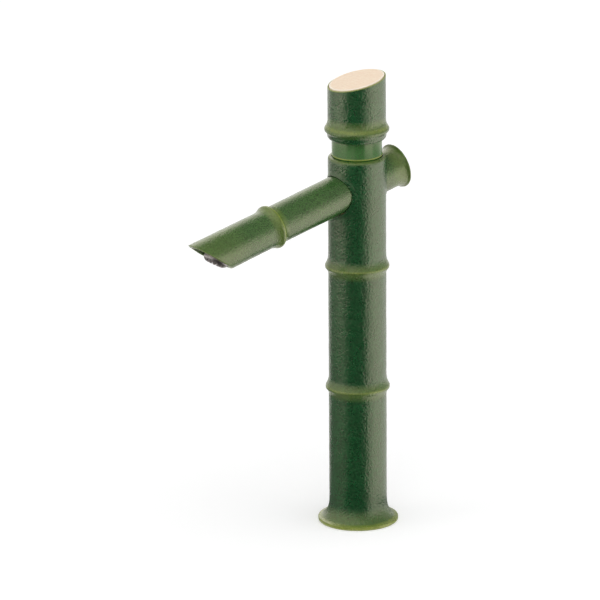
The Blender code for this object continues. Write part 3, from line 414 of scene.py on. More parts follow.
def cast_enamel(name, greens, gloss, grain, grain_depth):
    """Green enamel over a leathery casting, with lighter yellow-green on its crests and rims:
    partly worn enamel, partly painted highlight and painted light.
    """
    finish = enamel(name, gloss)
    deep, light = greens
    cloud = finish.step(finish.noise(ENAMEL_CLOUD, detail=3.0), *SOFT_STEP)
    colour = finish.mixed(cloud, deep, light)
    pores = finish.step(finish.noise(grain, roughness=0.6), *PORE_STEP)
    colour = finish.mixed(pores, tuple(PORE_SHADE_SHARE * c for c in deep), colour)
    patchiness = finish.spread(finish.noise(ENAMEL_PATCH), *PATCH_SHARES)
    # Painted highlight and painted light, with worn enamel: the crest mark, broken up in patches,
    # mixes in the lighter green
    wear_and_painted_light = finish.add("ShaderNodeMath", {0: finish.mark("crest"), 1: patchiness},
                      operation="MULTIPLY").outputs[0]
    colour = finish.mixed(wear_and_painted_light, colour, WEAR_AND_HIGHLIGHT_GREEN)
    rough = finish.sheen(ENAMEL_SHEEN, gloss - ENAMEL_SHEEN_SPREAD, gloss + ENAMEL_SHEEN_SPREAD)
    coarse = finish.bump(finish.noise(grain, detail=1.0), grain_depth)
    fine = finish.bump(finish.noise(FINE_GRAIN_SHARE * grain), FINE_DEPTH_SHARE * grain_depth,
                       under=coarse)
    return finish.worn(colour, rough, fine)


def smooth_enamel():
    """Satin green enamel of the turned neck, with a painted highlight on the bead where it meets
    the column.
    """
    finish = enamel("smooth_enamel", NECK_GLOSS)
    cloud = finish.step(finish.noise(NECK_CLOUD), *SOFT_STEP)
    colour = finish.mixed(cloud, *NECK_GREENS)
    colour = finish.mixed(finish.mark("crest"), colour, WEAR_AND_HIGHLIGHT_GREEN)
    rough = finish.sheen(NECK_SHEEN, NECK_GLOSS - NECK_SHEEN_SPREAD, NECK_GLOSS + NECK_SHEEN_SPREAD)
    return finish.worn(colour, rough, finish.bump(finish.noise(NECK_RIPPLE), NECK_RIPPLE_DEPTH))


def pale_wood():
    """Peach-coloured wood with a faint straight grain and a painted highlight along its edge."""
    finish = Finish("pale_wood_grain", WOOD_GLOSS)
    stretched = finish.add("ShaderNodeMapping", {
        "Vector": finish.place, "Rotation": (0, 0, WOOD_TURN), "Scale": (1.0, WOOD_STRETCH, 1.0)}
        ).outputs["Vector"]
    grain = finish.noise(WOOD_GRAIN, detail=5.0, roughness=0.62, vector=stretched)
    fibres = finish.noise(WOOD_FIBRE, detail=3.0, roughness=0.6, vector=stretched)
    colour = finish.mixed(finish.step(grain, *WOOD_GRAIN_STEP), *WOOD_TONES)
    streaks = finish.spread(finish.step(fibres, *WOOD_FIBRE_STEP), 0.0, WOOD_STREAK_SHARE)
    colour = finish.mixed(streaks, colour, WOOD_STREAK)
    colour = finish.mixed(finish.mark("crest"), colour, WOOD_EDGE_HIGHLIGHT)
    rough = finish.spread(grain, WOOD_GLOSS - WOOD_SHEEN_SPREAD, WOOD_GLOSS + WOOD_SHEEN_SPREAD)
    return finish.worn(colour, rough, finish.bump(fibres, WOOD_FIBRE_DEPTH))


def bare_metal(name, colour, roughness, tarnish=METAL_TARNISH_SHARE, size=METAL_STAIN):
    """Machined metal with a faint tarnish."""
    finish = Finish(name, roughness, metallic=1.0)
    stain = finish.step(finish.noise(size, detail=4.0, roughness=0.6), *METAL_STAIN_STEP)
    tone = finish.mixed(stain, colour, tuple((1 - tarnish) * c for c in colour))
    rough = finish.sheen(METAL_SHEEN_SHARE * size,
                         *(share * roughness for share in METAL_GLOSS_SHARES))
    ripple = finish.bump(finish.noise(METAL_RIPPLE_SHARE * size), METAL_RIPPLE_DEPTH)
    return finish.worn(tone, rough, ripple)


def moulded(name, colour, roughness):
    """Rubber, plastic or ceramic with a faint mottle."""
    finish = Finish(name, roughness)
    cloud = finish.step(finish.noise(MOULDED_CLOUD, detail=3.0), *SOFT_STEP)
    tone = finish.mixed(cloud, colour, tuple(MOULDED_SHADE_SHARE * c for c in colour))
    rough = finish.sheen(MOULDED_SHEEN, *(share * roughness for share in MOULDED_GLOSS_SHARES))
    ripple = finish.bump(finish.noise(MOULDED_RIPPLE), MOULDED_RIPPLE_DEPTH)
    return finish.worn(tone, rough, ripple)


column_green = cast_enamel("column_green", COLUMN_GREENS, COLUMN_GLOSS, LEATHER_GRAIN,
                           COLUMN_GRAIN_DEPTH)
# The same enamel, painted lighter: painted light from above on the spout and stub
lit_spout_green = cast_enamel("lit_spout_green", SPOUT_LIT_GREENS, SPOUT_GLOSS,
                          SPOUT_GRAIN_SHARE * LEATHER_GRAIN, SPOUT_GRAIN_DEPTH)
finish_of = {
    "green_cast": column_green,
    "green_satin": smooth_enamel(),
    "pale_wood": pale_wood(),
    "brass": bare_metal("turned_brass", (0.80, 0.60, 0.28), roughness=0.3),
    "copper": bare_metal("drawn_copper", (0.85, 0.48, 0.32), roughness=0.28),
    "chrome": bare_metal("outlet_chrome", (0.82, 0.74, 0.71), roughness=0.42,
                         tarnish=CHROME_TARNISH_SHARE, size=CHROME_STAIN),
    "steel": bare_metal("zinced_steel", (0.62, 0.62, 0.61), roughness=0.32),
    "ceramic": moulded("lapped_ceramic", (0.85, 0.84, 0.80), roughness=0.16),
    "rubber": moulded("black_rubber", (0.022, 0.022, 0.022), roughness=0.62),
    "acetal": moulded("white_acetal", (0.78, 0.78, 0.75), roughness=0.42),
}


class Recipe:
    """A geometry tree with named inputs, which ends in real faces of one material."""

    def __init__(self, name, **sizes):
        self.tree = bpy.data.node_groups.new(name, "GeometryNodeTree")
        sockets = self.tree.interface
        sockets.new_socket("Geometry", in_out="INPUT", socket_type="NodeSocketGeometry")
        for label, kind in sizes.items():
            sockets.new_socket(label, in_out="INPUT", socket_type="NodeSocket" + kind)
        sockets.new_socket("Material", in_out="INPUT", socket_type="NodeSocketMaterial")
        sockets.new_socket("Geometry", in_out="OUTPUT", socket_type="NodeSocketGeometry")
        self.given = self.tree.nodes.new("NodeGroupInput").outputs

    def add(self, kind, inputs=None, **settings):
        """Add a node and return its first output that is in use."""
        made = add_node(self.tree, kind, inputs, **settings)
        return next((socket for socket in made.outputs if socket.enabled), None)

    def sum(self, operation, *values):
        """Return the result of one calculation."""
        return self.add("ShaderNodeMath", dict(enumerate(values)), operation=operation)

    def ends(self, geometry):
        """Turn instances into real faces and give them the material."""
        real = self.add("GeometryNodeRealizeInstances", {"Geometry": geometry})
        done = self.add("GeometryNodeSetMaterial", {"Geometry": real,
                                                    "Material": self.given["Material"]})
        add_node(self.tree, "NodeGroupOutput", {"Geometry": done})

    def applied(self, item, **values):
        """Run the tree on an object with these sizes, and keep the result as its mesh."""
        change = item.modifiers.new(self.tree.name, "NODES")
        change.node_group = self.tree
        for socket in self.tree.interface.items_tree:
            if socket.in_out == "INPUT" and socket.name in values:
                change[socket.identifier] = values[socket.name]
        return baked(item)


def baked(item):
    """Replace an object's mesh by its evaluated one, with no modifiers left."""
    graph = bpy.context.evaluated_depsgraph_get()
    mesh = bpy.data.meshes.new_from_object(item.evaluated_get(graph), preserve_all_data_layers=True,
                                           depsgraph=graph)
    item.modifiers.clear()
    item.data = mesh
    return item


def cast_relief():
    """Sinks a casting's skin by broad dents and a leathery grain, and never raises it."""
    recipe = Recipe("cast_relief", Grain="Float", Grain_Depth="Float", Dents="Float",
                    Dent_Depth="Float", Seed="Float")
    given = recipe.given
    shallow, deep = SOFT_STEP
    depths = []
    for size, depth in (("Grain", "Grain_Depth"), ("Dents", "Dent_Depth")):
        scale = recipe.sum("DIVIDE", 1.0, given[size])
        noise = recipe.add("ShaderNodeTexNoise", {
            "W": given["Seed"], "Scale": scale, "Detail": 1.0}, noise_dimensions="4D")
        level = recipe.add("ShaderNodeMapRange", {
            "Value": noise, "From Min": shallow, "From Max": deep})
        depths.append(recipe.sum("MULTIPLY", level, given[depth]))
    skin = recipe.add("GeometryNodeInputNamedAttribute", {"Name": "skin"}, data_type="FLOAT")
    sunk = recipe.sum("MULTIPLY", recipe.sum("ADD", *depths), skin)
    inward = recipe.sum("MULTIPLY", sunk, -1.0)
    normal = recipe.add("GeometryNodeInputNormal")
    offset = recipe.add("ShaderNodeVectorMath", {"Vector": normal, "Scale": inward},
                        operation="SCALE")
    recipe.ends(recipe.add("GeometryNodeSetPosition", {
        "Geometry": given["Geometry"], "Offset": offset}))
    return recipe


def helical_ridge():
    """A right-hand thread's ridge, which dies away into the tail at both ends."""
    recipe = Recipe("helical_ridge", Radius="Float", Pitch="Float", Length="Float",
                    Bottom="Float", Depth="Float", Root_Width="Float", Crest_Width="Float",
                    Fade="Float", Steps="Int")
    given = recipe.given
    turns = recipe.sum("DIVIDE", given["Length"], given["Pitch"])
    line = recipe.add("GeometryNodeCurveSpiral", {
        "Resolution": given["Steps"], "Rotations": turns, "Start Radius": given["Radius"],
        "End Radius": given["Radius"], "Height": given["Length"], "Reverse": True})
    line = recipe.add("GeometryNodeSetCurveNormal", {"Curve": line}, mode="Z_UP")
    section = recipe.add("GeometryNodeCurvePrimitiveQuadrilateral", {
        "Height": given["Depth"], "Bottom Width": given["Root_Width"],
        "Top Width": given["Crest_Width"], "Offset": 0.0}, mode="TRAPEZOID")
    section = recipe.add("GeometryNodeTransform", {
        "Geometry": section, "Rotation": (0, 0, -QUARTER_TURN)})
    along = recipe.add("GeometryNodeSplineParameter")
    end = recipe.sum("DIVIDE", recipe.sum("MINIMUM", along, recipe.sum("SUBTRACT", 1.0, along)),
                     given["Fade"])
    size = recipe.sum("MAXIMUM", recipe.sum("MINIMUM", end, 1.0), THREAD_TIP_SHARE)
    ridge = recipe.add("GeometryNodeCurveToMesh", {
        "Curve": line, "Profile Curve": section, "Scale": size, "Fill Caps": True})
    lift = recipe.add("ShaderNodeCombineXYZ", {"Z": given["Bottom"]})
    recipe.ends(recipe.add("GeometryNodeTransform", {"Geometry": ridge, "Translation": lift}))
    return recipe


def toothed_crown():
    """Teeth of equal width round a ring, with gaps of one width between them."""
    recipe = Recipe("toothed_crown", Teeth="Int", Radius="Float", Wall="Float", Height="Float",
                    Bottom="Float", Gap="Float", Edge="Float", Steps="Int")
    given = recipe.given
    pitch = recipe.sum("DIVIDE", FULL_TURN, given["Teeth"])
    sweep = recipe.sum("SUBTRACT", pitch, recipe.sum("DIVIDE", given["Gap"], given["Radius"]))
    line = recipe.add("GeometryNodeCurveArc", {
        "Resolution": given["Steps"], "Radius": given["Radius"], "Sweep Angle": sweep},
        mode="RADIUS")
    line = recipe.add("GeometryNodeSetCurveNormal", {"Curve": line}, mode="Z_UP")
    section = recipe.add("GeometryNodeCurvePrimitiveQuadrilateral",
                         {"Width": given["Wall"], "Height": given["Height"]}, mode="RECTANGLE")
    section = recipe.add("GeometryNodeFilletCurve", {
        "Curve": section, "Count": 2, "Radius": given["Edge"]}, mode="POLY")
    tooth = recipe.add("GeometryNodeCurveToMesh", {
        "Curve": line, "Profile Curve": section, "Fill Caps": True})
    lift = recipe.add("ShaderNodeCombineXYZ", {"Z": given["Bottom"]})
    places = recipe.add("GeometryNodePoints", {"Count": given["Teeth"], "Position": lift})
    turn = recipe.sum("MULTIPLY", recipe.add("GeometryNodeInputIndex"), pitch)
    spin = recipe.add("ShaderNodeCombineXYZ", {"Z": turn})
    recipe.ends(recipe.add("GeometryNodeInstanceOnPoints", {
        "Points": places, "Instance": tooth, "Rotation": spin}))
    return recipe


def drawn(*corners):
    """Return a line through (radius, height) corners; a third value rounds that corner off."""
    line = []
    for i, corner in enumerate(corners):
        here = np.array(corner[:2])
        if len(corner) < 3:
            line.append(tuple(here))
            continue
        back = np.array(corners[i - 1][:2]) - here
        on = np.array(corners[(i + 1) % len(corners)][:2]) - here
        back = back / np.hypot(*back)
        on = on / np.hypot(*on)
        half = math.acos(np.clip(back @ on, -1, 1)) / 2
        reach = corner[2] / math.tan(half)
        for k in range(EDGE_POINTS):
            share = k / (EDGE_POINTS - 1)
            line.append(tuple(here + reach * (back * (1 - share) ** 2 + on * share ** 2)))
    return line


def node_outline(peak_z, flare, back, upper, peak, lower):
    """Return a bamboo node, from its long hollow flare over its crest to its short return."""
    points = []
    for start, end, base in ((flare, NODE_CREST / 2, upper), (-NODE_CREST / 2, -back, lower)):
        for i in range(CURVE_POINTS):
            share = i / (CURVE_POINTS - 1)
            height = start + (end - start) * share
            nearness = share if start > 0 else 1 - share
            points.append((base + (peak - base) * nearness ** 2, peak_z + height))
    return points


def trumpet(start_radius, end_radius, start, end):
    """Return a quarter ellipse that leaves along the axis and ends square to it."""
    points = []
    for i in range(CURVE_POINTS):
        angle = QUARTER_TURN * i / (CURVE_POINTS - 1)
        radius = start_radius + (end_radius - start_radius) * (1 - math.cos(angle))
        points.append((radius, start + (end - start) * math.sin(angle)))
    return points


def softened(line):
    """Lay points evenly along a line, and draw each to its neighbours so that corners round."""
    points = np.array(line)
    along = np.concatenate([[0], np.cumsum(np.hypot(*np.diff(points, axis=0).T))])
    wanted = np.linspace(0, along[-1], math.ceil(along[-1] / FINE_STEP))
    points = np.stack([np.interp(wanted, along, points[:, k]) for k in (0, 1)], axis=1)
    for _ in range(SOFTENING):
        points[1:-1] = (points[:-2] + 2 * points[1:-1] + points[2:]) / 4
    return points


def skin_line(line):
    """Round a casting's outline, then keep fewer points where it runs straight."""
    points = softened(line)
    legs = np.diff(points, axis=0)
    heading = np.unwrap(np.arctan2(legs[:, 1], legs[:, 0]))
    turn = np.abs(np.diff(heading, prepend=heading[0]))
    need = np.concatenate([[0], np.cumsum(np.hypot(*legs.T) / SKIN_STEP + turn / SKIN_BEND)])
    wanted = np.linspace(0, need[-1], math.ceil(need[-1]) + 1)
    return list(zip(*(np.interp(wanted, need, points[:, k]) for k in (0, 1))))


def coordinates(item):
    """Return an object's points as an array."""
    points = np.empty(len(item.data.vertices) * 3)
    item.data.vertices.foreach_get("co", points)
    return points.reshape(-1, 3)


def moved(item, points):
    """Write an array back as the object's points."""
    item.data.vertices.foreach_set("co", points.ravel())
    item.data.update()
    return item


def new_item(name, points=(), faces=()):
    """Return a new object in the scene, at the origin."""
    mesh = bpy.data.meshes.new(name)
    mesh.from_pydata(points, [], faces)
    item = bpy.data.objects.new(name, mesh)
    bpy.context.scene.collection.objects.link(item)
    return item


def lathed(name, outline, around):
    """Turn an outline about Z. It runs down its outer side, and ends on the axis or closes."""
    line = np.array([p for p, q in zip(outline, outline[1:] + outline[:1])
                     if math.dist(p, q) > WELD])
    count = len(line)
    on_axis = int(line[0][0] < WELD)
    angles = np.arange(around) * (FULL_TURN / around)
    points = np.empty((around, count, 3))
    points[..., 0] = np.cos(angles)[:, None] * line[:, 0]
    points[..., 1] = np.sin(angles)[:, None] * line[:, 0]
    points[..., 2] = line[:, 1]
    here, turn = np.meshgrid(np.arange(count - on_axis), np.arange(around))
    after, onward = (here + 1) % count, (turn + 1) % around
    faces = np.stack([turn * count + here, turn * count + after,
                      onward * count + after, onward * count + here], axis=-1)
    item = new_item(name, points.reshape(-1, 3).tolist(), faces.reshape(-1, 4).tolist())
    if on_axis:
        bm = bmesh.new()
        bm.from_mesh(item.data)
        bmesh.ops.remove_doubles(bm, verts=bm.verts, dist=WELD)
        bm.to_mesh(item.data)
        bm.free()
    return item


def placed(item, place):
    """Put a piece in its place, in its mesh."""
    item.data.transform(place)
    return item


def slanted(item, start, end, slope, low):
    """Lean what lies above start, so that all above end slopes down towards low."""
    points = coordinates(item)
    share = np.clip((points[:, 2] - start) / (end - start), 0, 1)
    points[:, 2] -= share * slope * (points[:, :2] @ low)
    return moved(item, points)


def coped(item):
    """Curve a side tube's root, so that it follows the column's bore."""
    points = coordinates(item)
    near = points[:, 2] < ROOT_TO
    x, y, z = points[near].T
    ends = (np.sqrt(COLUMN_BORE ** 2 - x ** 2) - y * math.sin(SPOUT_DROOP)) / math.cos(SPOUT_DROOP)
    points[near, 2] = ends + (z - ROOT_FROM) / (ROOT_TO - ROOT_FROM) * (ROOT_TO - ends)
    return moved(item, points)


def lipped(item, place):
    """Raise a soft lip on the column round the hole that a side tube leaves by."""
    points = coordinates(item)
    local = np.array(place.inverted())
    beside = points @ local[:3, :3].T + local[:3, 3]
    away = np.hypot(beside[:, 0], beside[:, 1])
    radius = np.hypot(points[:, 0], points[:, 1])
    share = np.clip((LIP_FOOT - away) / (LIP_FOOT - LIP_CROWN), 0, 1)
    rise = LIP_RISE * share * share * (3 - 2 * share)
    rise[(beside[:, 2] < 0) | (radius < COLUMN_BORE + FIT)] = 0
    points[:, :2] *= (1 + rise / radius)[:, None]
    return moved(item, points)


def marked(item, bore, crests=()):
    """Store where the skin lies, outside the bore, and where lighter green is painted on it.

    crests are (height, half its width, share of lighter green) rows: partly worn enamel, partly
    painted highlight and painted light."""
    points = coordinates(item)
    outside = (np.hypot(points[:, 0], points[:, 1]) - bore) / FIT
    wear_and_painted_light = np.zeros(len(points))
    for height, half, share in crests:
        wear_and_painted_light = np.maximum(wear_and_painted_light, share * (1 - ((points[:, 2] - height) / half) ** 2))
    for name, values in (("skin", outside), ("crest", wear_and_painted_light * np.clip(outside + 1, 0, 1))):
        layer = item.data.attributes.new(name, "FLOAT", "POINT")
        layer.data.foreach_set("value", np.clip(values, 0, 1).astype(np.float32))
    return item


def dressed(item, node, material=None):
    """Shade a piece with the finish of its CAD node's slot, hide that node, and hang the piece on
    the node's body.
    """
    slot = slot_of[node]
    item.data.materials.clear()
    item.data.materials.append(material or finish_of[slot])
    item.data.shade_smooth()
    item.data.set_sharp_from_angle(angle=SMOOTH_ANGLE)
    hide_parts(node)
    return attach(item, body_of[node])


def cast(item, node, material):
    """Give a casting its leathery relief and its enamel."""
    relief.applied(item, Grain=LEATHER_GRAIN, Grain_Depth=LEATHER_DEPTH, Dents=DENT_SIZE,
                   Dent_Depth=DENT_DEPTH, Seed=CAST_SEEDS[node], Material=material)
    return dressed(item, node, material)


def drilled(item, *drills):
    """Cut round holes through a piece."""
    for drill in drills:
        change = item.modifiers.new("hole", "BOOLEAN")
        change.operation = "DIFFERENCE"
        change.solver = "MANIFOLD"
        change.object = drill
        baked(item)
        bpy.data.objects.remove(drill)
    return item


def make_column():
    """The column: two nodes, a flared foot, and soft lips round the holes in its sides."""
    line = drawn((COLUMN_BORE, column_top), (COLUMN_RADIUS, column_top, COLUMN_TOP_ROUND),
                 (COLUMN_RADIUS, UPPER_NODE_Z))[:-1]
    for node_z in (UPPER_NODE_Z, LOWER_NODE_Z):
        line += node_outline(node_z, NODE_FLARE, NODE_RETURN,
                             COLUMN_RADIUS, NODE_RADIUS, COLUMN_RADIUS)
    line += trumpet(COLUMN_RADIUS, foot_radius - FOOT_EDGE, FOOT_RIM + FOOT_FLARE, FOOT_RIM)
    inner, outer = GASKET_GROOVE
    line += drawn((foot_radius - FOOT_EDGE, FOOT_RIM), (foot_radius, FOOT_RIM, FOOT_EDGE / 2),
                  (foot_radius, 0, FOOT_EDGE), (outer + FOOT_EDGE, 0))
    under = [(outer, 0), (outer, GASKET_GROOVE_DEPTH), (inner, GASKET_GROOVE_DEPTH), (inner, 0),
             (COLUMN_BORE, 0)]
    column = lathed("cast_column", skin_line(line) + under, ROUND_AROUND)
    drills = []
    hole = SPOUT_RADIUS + FIT
    for name, place in (("spout_drill", spout_place), ("stub_drill", stub_place)):
        lipped(column, place)
        drill = lathed(name, [(0, 2 * COLUMN_RADIUS), (hole, 2 * COLUMN_RADIUS),
                              (hole, ROOT_FROM), (0, ROOT_FROM)], SPOUT_AROUND)
        drills.append(placed(drill, place))
    drilled(column, *drills)
    # Lighter green on the foot's rim and along each node's crest, partly worn enamel and partly
    # painted highlight; a painted highlight on the column's top edge; painted light over the foot's
    # flare and round each node
    crests = [(FOOT_RIM / 2, FOOT_RIM, 1.0), (0, FOOT_FLARE, FOOT_PAINTED_LIGHT_SHARE),
              (column_top, COLUMN_TOP_ROUND, EDGE_HIGHLIGHT_SHARE)]
    for node_z in (UPPER_NODE_Z, LOWER_NODE_Z):
        crests += [(node_z + NODE_CREST / 2, CREST_HALF, NODE_WEAR_AND_HIGHLIGHT_SHARE),
                   (node_z, PAINTED_LIGHT_HALF, NODE_PAINTED_LIGHT_SHARE)]
    marked(column, COLUMN_BORE + FIT, crests)
    return cast(column, "column_body", column_green)


def make_spout():
    """The drooping bamboo spout with its node and its long slanted cut."""
    edge = mouth_at - MOUTH_EDGE
    line = drawn((SPOUT_BORE, edge), (SPOUT_BORE, mouth_at, MOUTH_EDGE),
                 (SPOUT_MOUTH_RADIUS, mouth_at, MOUTH_EDGE), (SPOUT_MOUTH_RADIUS, edge))
    line += node_outline(SPOUT_NODE_AT, SPOUT_NODE_FLARE, SPOUT_NODE_RETURN,
                         SPOUT_RADIUS, SPOUT_NODE_RADIUS, SPOUT_RADIUS)
    line.append((SPOUT_RADIUS, ROOT_FROM))
    spout = lathed("cast_spout", skin_line(line) + [(SPOUT_BORE, ROOT_FROM)], SPOUT_AROUND)
    # Lighter green along the node's crest, partly worn enamel and partly painted highlight; painted
    # light round the node; a painted highlight along the mouth's lip; and lighter green fading out
    # towards the mouth
    marked(spout, SPOUT_BORE + FIT, [
        (SPOUT_NODE_AT - NODE_CREST / 2, CREST_HALF, SPOUT_WEAR_AND_HIGHLIGHT_SHARE),
        (SPOUT_NODE_AT, PAINTED_LIGHT_HALF, SPOUT_PAINTED_LIGHT_SHARE),
        (mouth_at, MOUTH_HIGHLIGHT_HALF, MOUTH_HIGHLIGHT_SHARE), (mouth_at, SPOUT_FADE, MOUTH_FADE_SHARE)])
    slanted(spout, SPOUT_CUT_FROM, edge - MOUTH_EDGE, mouth_slope, spout_low)
    placed(coped(spout), spout_place)
    return cast(spout, "spout_shell", lit_spout_green)


def make_stub():
    """The short flared end of the same bamboo behind the column."""
    floor = STUB_REACH - STUB_RECESS
    line = drawn((0, floor), (STUB_RECESS_RADIUS, floor, STUB_EDGE),
                 (STUB_RECESS_RADIUS, STUB_REACH, STUB_EDGE),
                 (STUB_END_RADIUS, STUB_REACH, STUB_EDGE), (STUB_END_RADIUS, floor))[:-1]
    line += trumpet(SPOUT_RADIUS, STUB_END_RADIUS, STUB_REACH - STUB_RIM - STUB_FLARE,
                    STUB_REACH - STUB_RIM)[::-1]
    line.append((SPOUT_RADIUS, ROOT_FROM))
    hidden = [(SPOUT_BORE, ROOT_FROM), (SPOUT_BORE, STUB_HOLLOW_END), (0, STUB_HOLLOW_END)]
    stub = lathed("cast_stub", skin_line(line) + hidden, SPOUT_AROUND)
    # A painted highlight on the flared end's edge, and painted light fading back from it
    marked(stub, SPOUT_BORE + FIT, [(STUB_REACH, STUB_EDGE, EDGE_HIGHLIGHT_SHARE),
                                    (STUB_REACH, STUB_PAINTED_LIGHT_REACH, STUB_PAINTED_LIGHT_SHARE)])
    placed(coped(stub), stub_place)
    return cast(stub, "rear_stub", lit_spout_green)


def make_neck():
    """The smooth sleeve between column and handle, with a bead of enamel at its foot."""
    low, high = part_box("neck_sleeve")
    bead = NECK_RADIUS + BEAD_RISE
    seam = column_top + FIT
    line = drawn((NECK_BORE, high.z), (NECK_RADIUS, high.z, NECK_EDGE),
                 (NECK_RADIUS, seam + BEAD_HEIGHT), (bead, seam + BEAD_HEIGHT / 2, BEAD_RISE),
                 (NECK_RADIUS, seam), (NECK_RADIUS, low.z, SMALL_EDGE), (NECK_FLANGE_BORE, low.z),
                 (NECK_FLANGE_BORE, low.z + NECK_FLANGE), (NECK_BORE, low.z + NECK_FLANGE))
    neck = lathed("turned_neck", line, ROUND_AROUND)
    # A painted highlight on the bead at the neck's foot
    marked(neck, NECK_BORE + FIT, [(seam + BEAD_HEIGHT / 2, BEAD_HEIGHT / 2, BEAD_HIGHLIGHT_SHARE)])
    return dressed(neck, "neck_sleeve")


def make_handle():
    """The bamboo joint that is turned, with its slanted rim."""
    web_low, web_high = (handle_bottom + up for up in WEB_UP)
    node_z = handle_bottom + HANDLE_NODE_UP
    skirt = handle_bottom + SKIRT_SHORT
    rim = handle_top - RIM_EDGE
    line = drawn((RIM_BORE, rim), (RIM_BORE, handle_top, RIM_EDGE),
                 (HANDLE_RADIUS, handle_top, RIM_EDGE), (HANDLE_RADIUS, rim))
    line += node_outline(node_z, HANDLE_NODE_FLARE, HANDLE_NODE_RETURN,
                         HANDLE_RADIUS, HANDLE_NODE_RADIUS, HANDLE_LIP_RADIUS)
    line += drawn((HANDLE_LIP_RADIUS, skirt + HANDLE_LIP_ROUND),
                  (HANDLE_LIP_RADIUS, skirt, HANDLE_LIP_ROUND), (SKIRT_BORE, skirt))
    hidden = [(SKIRT_BORE, web_low), (WEB_BORE, web_low), (WEB_BORE, web_high),
              (HANDLE_BORE, web_high), (HANDLE_BORE, handle_ledge), (RIM_BORE, handle_ledge)]
    handle = lathed("cast_handle", skin_line(line) + hidden, ROUND_AROUND)
    # Lighter green along the node's crest, partly worn enamel and partly painted highlight; painted
    # light round the node; a painted highlight along the slanted rim
    marked(handle, RIM_BORE, [(node_z + HANDLE_CREST_UP, 2 * CREST_HALF, NODE_WEAR_AND_HIGHLIGHT_SHARE),
                              (node_z + PAINTED_LIGHT_HALF / 2, PAINTED_LIGHT_HALF, NODE_PAINTED_LIGHT_SHARE),
                              (handle_top, CREST_HALF, 1.0)])
    slanted(handle, handle_bottom + HANDLE_SLANT_FROM, handle_ledge - FIT, HANDLE_SLANT, handle_low)
    return cast(handle, "handle_shell", column_green)


def make_insert():
    """The pale slanted disc in the handle's top."""
    top = handle_top + INSERT_PROUD
    rings = [(INSERT_RADIUS * i / CURVE_POINTS, top) for i in range(CURVE_POINTS)]
    line = drawn((0, top), (INSERT_RADIUS, top, INSERT_EDGE),
                 (INSERT_RADIUS, handle_ledge + FIT), (0, handle_ledge + FIT))
    insert = lathed("wood_insert", rings + line[1:], ROUND_AROUND)
    # A painted highlight along the insert's edge
    marked(insert, INSERT_RADIUS - 2 * INSERT_EDGE, [(top, INSERT_EDGE, 1.0)])
    slanted(insert, 0, handle_bottom, HANDLE_SLANT, handle_low)
    return dressed(insert, "handle_insert")


def domed(item):
    """Draw the crown in towards its mouth, to a low dome."""
    points = coordinates(item)
    share = np.clip((points[:, 2] - DOME_FROM) / (CROWN_PROUD - DOME_FROM), 0, 1)
    points[:, :2] *= (1 - DOME_TAPER_SHARE * share ** 2)[:, None]
    return moved(item, points)


def make_outlet():
    """The notched metal crown that stands out of the spout's cut."""
    seat = CROWN_PROUD - TOOTH_HEIGHT
    ledge = CROWN_PROUD - CROWN_MOUTH
    flank = [(CROWN_RADIUS, seat + (DOME_FROM - seat) * i / DOME_STEPS)
             for i in range(1, DOME_STEPS + 1)]
    line = drawn((CROWN_MOUTH_BORE, seat, CROWN_EDGE), (CROWN_RADIUS, seat, CROWN_EDGE), *flank,
                 (CROWN_RADIUS, CROWN_LOW, CROWN_EDGE), (CROWN_BORE, CROWN_LOW),
                 (CROWN_BORE, ledge), (CROWN_MOUTH_BORE, ledge))
    ring = lathed("outlet_ring", line, SMALL_AROUND)
    teeth = new_item("outlet_teeth")
    wall = CROWN_RADIUS - CROWN_MOUTH_BORE
    height = TOOTH_HEIGHT + TOOTH_ROOT
    toothed_crown().applied(teeth, Teeth=CROWN_TEETH, Radius=CROWN_RADIUS - wall / 2, Wall=wall,
                            Height=height, Bottom=CROWN_PROUD - height / 2, Gap=NOTCH_WIDTH,
                            Edge=CROWN_EDGE, Steps=TOOTH_STEPS, Material=finish_of["chrome"])
    for item in (ring, teeth):
        dressed(placed(domed(item), outlet_place), "aerator_housing")


def flattened(item, across_flats):
    """Press a turned blank into a hexagon with two flats square to X."""
    points = coordinates(item)
    angle = np.arctan2(points[:, 1], points[:, 0])
    side = FULL_TURN / NUT_SIDES
    from_flat = (angle + side / 2) % side - side / 2
    radius = np.hypot(points[:, 0], points[:, 1])
    limit = across_flats / 2 / np.cos(from_flat)
    points[:, :2] *= np.minimum(1, limit / radius)[:, None]
    return moved(item, points)


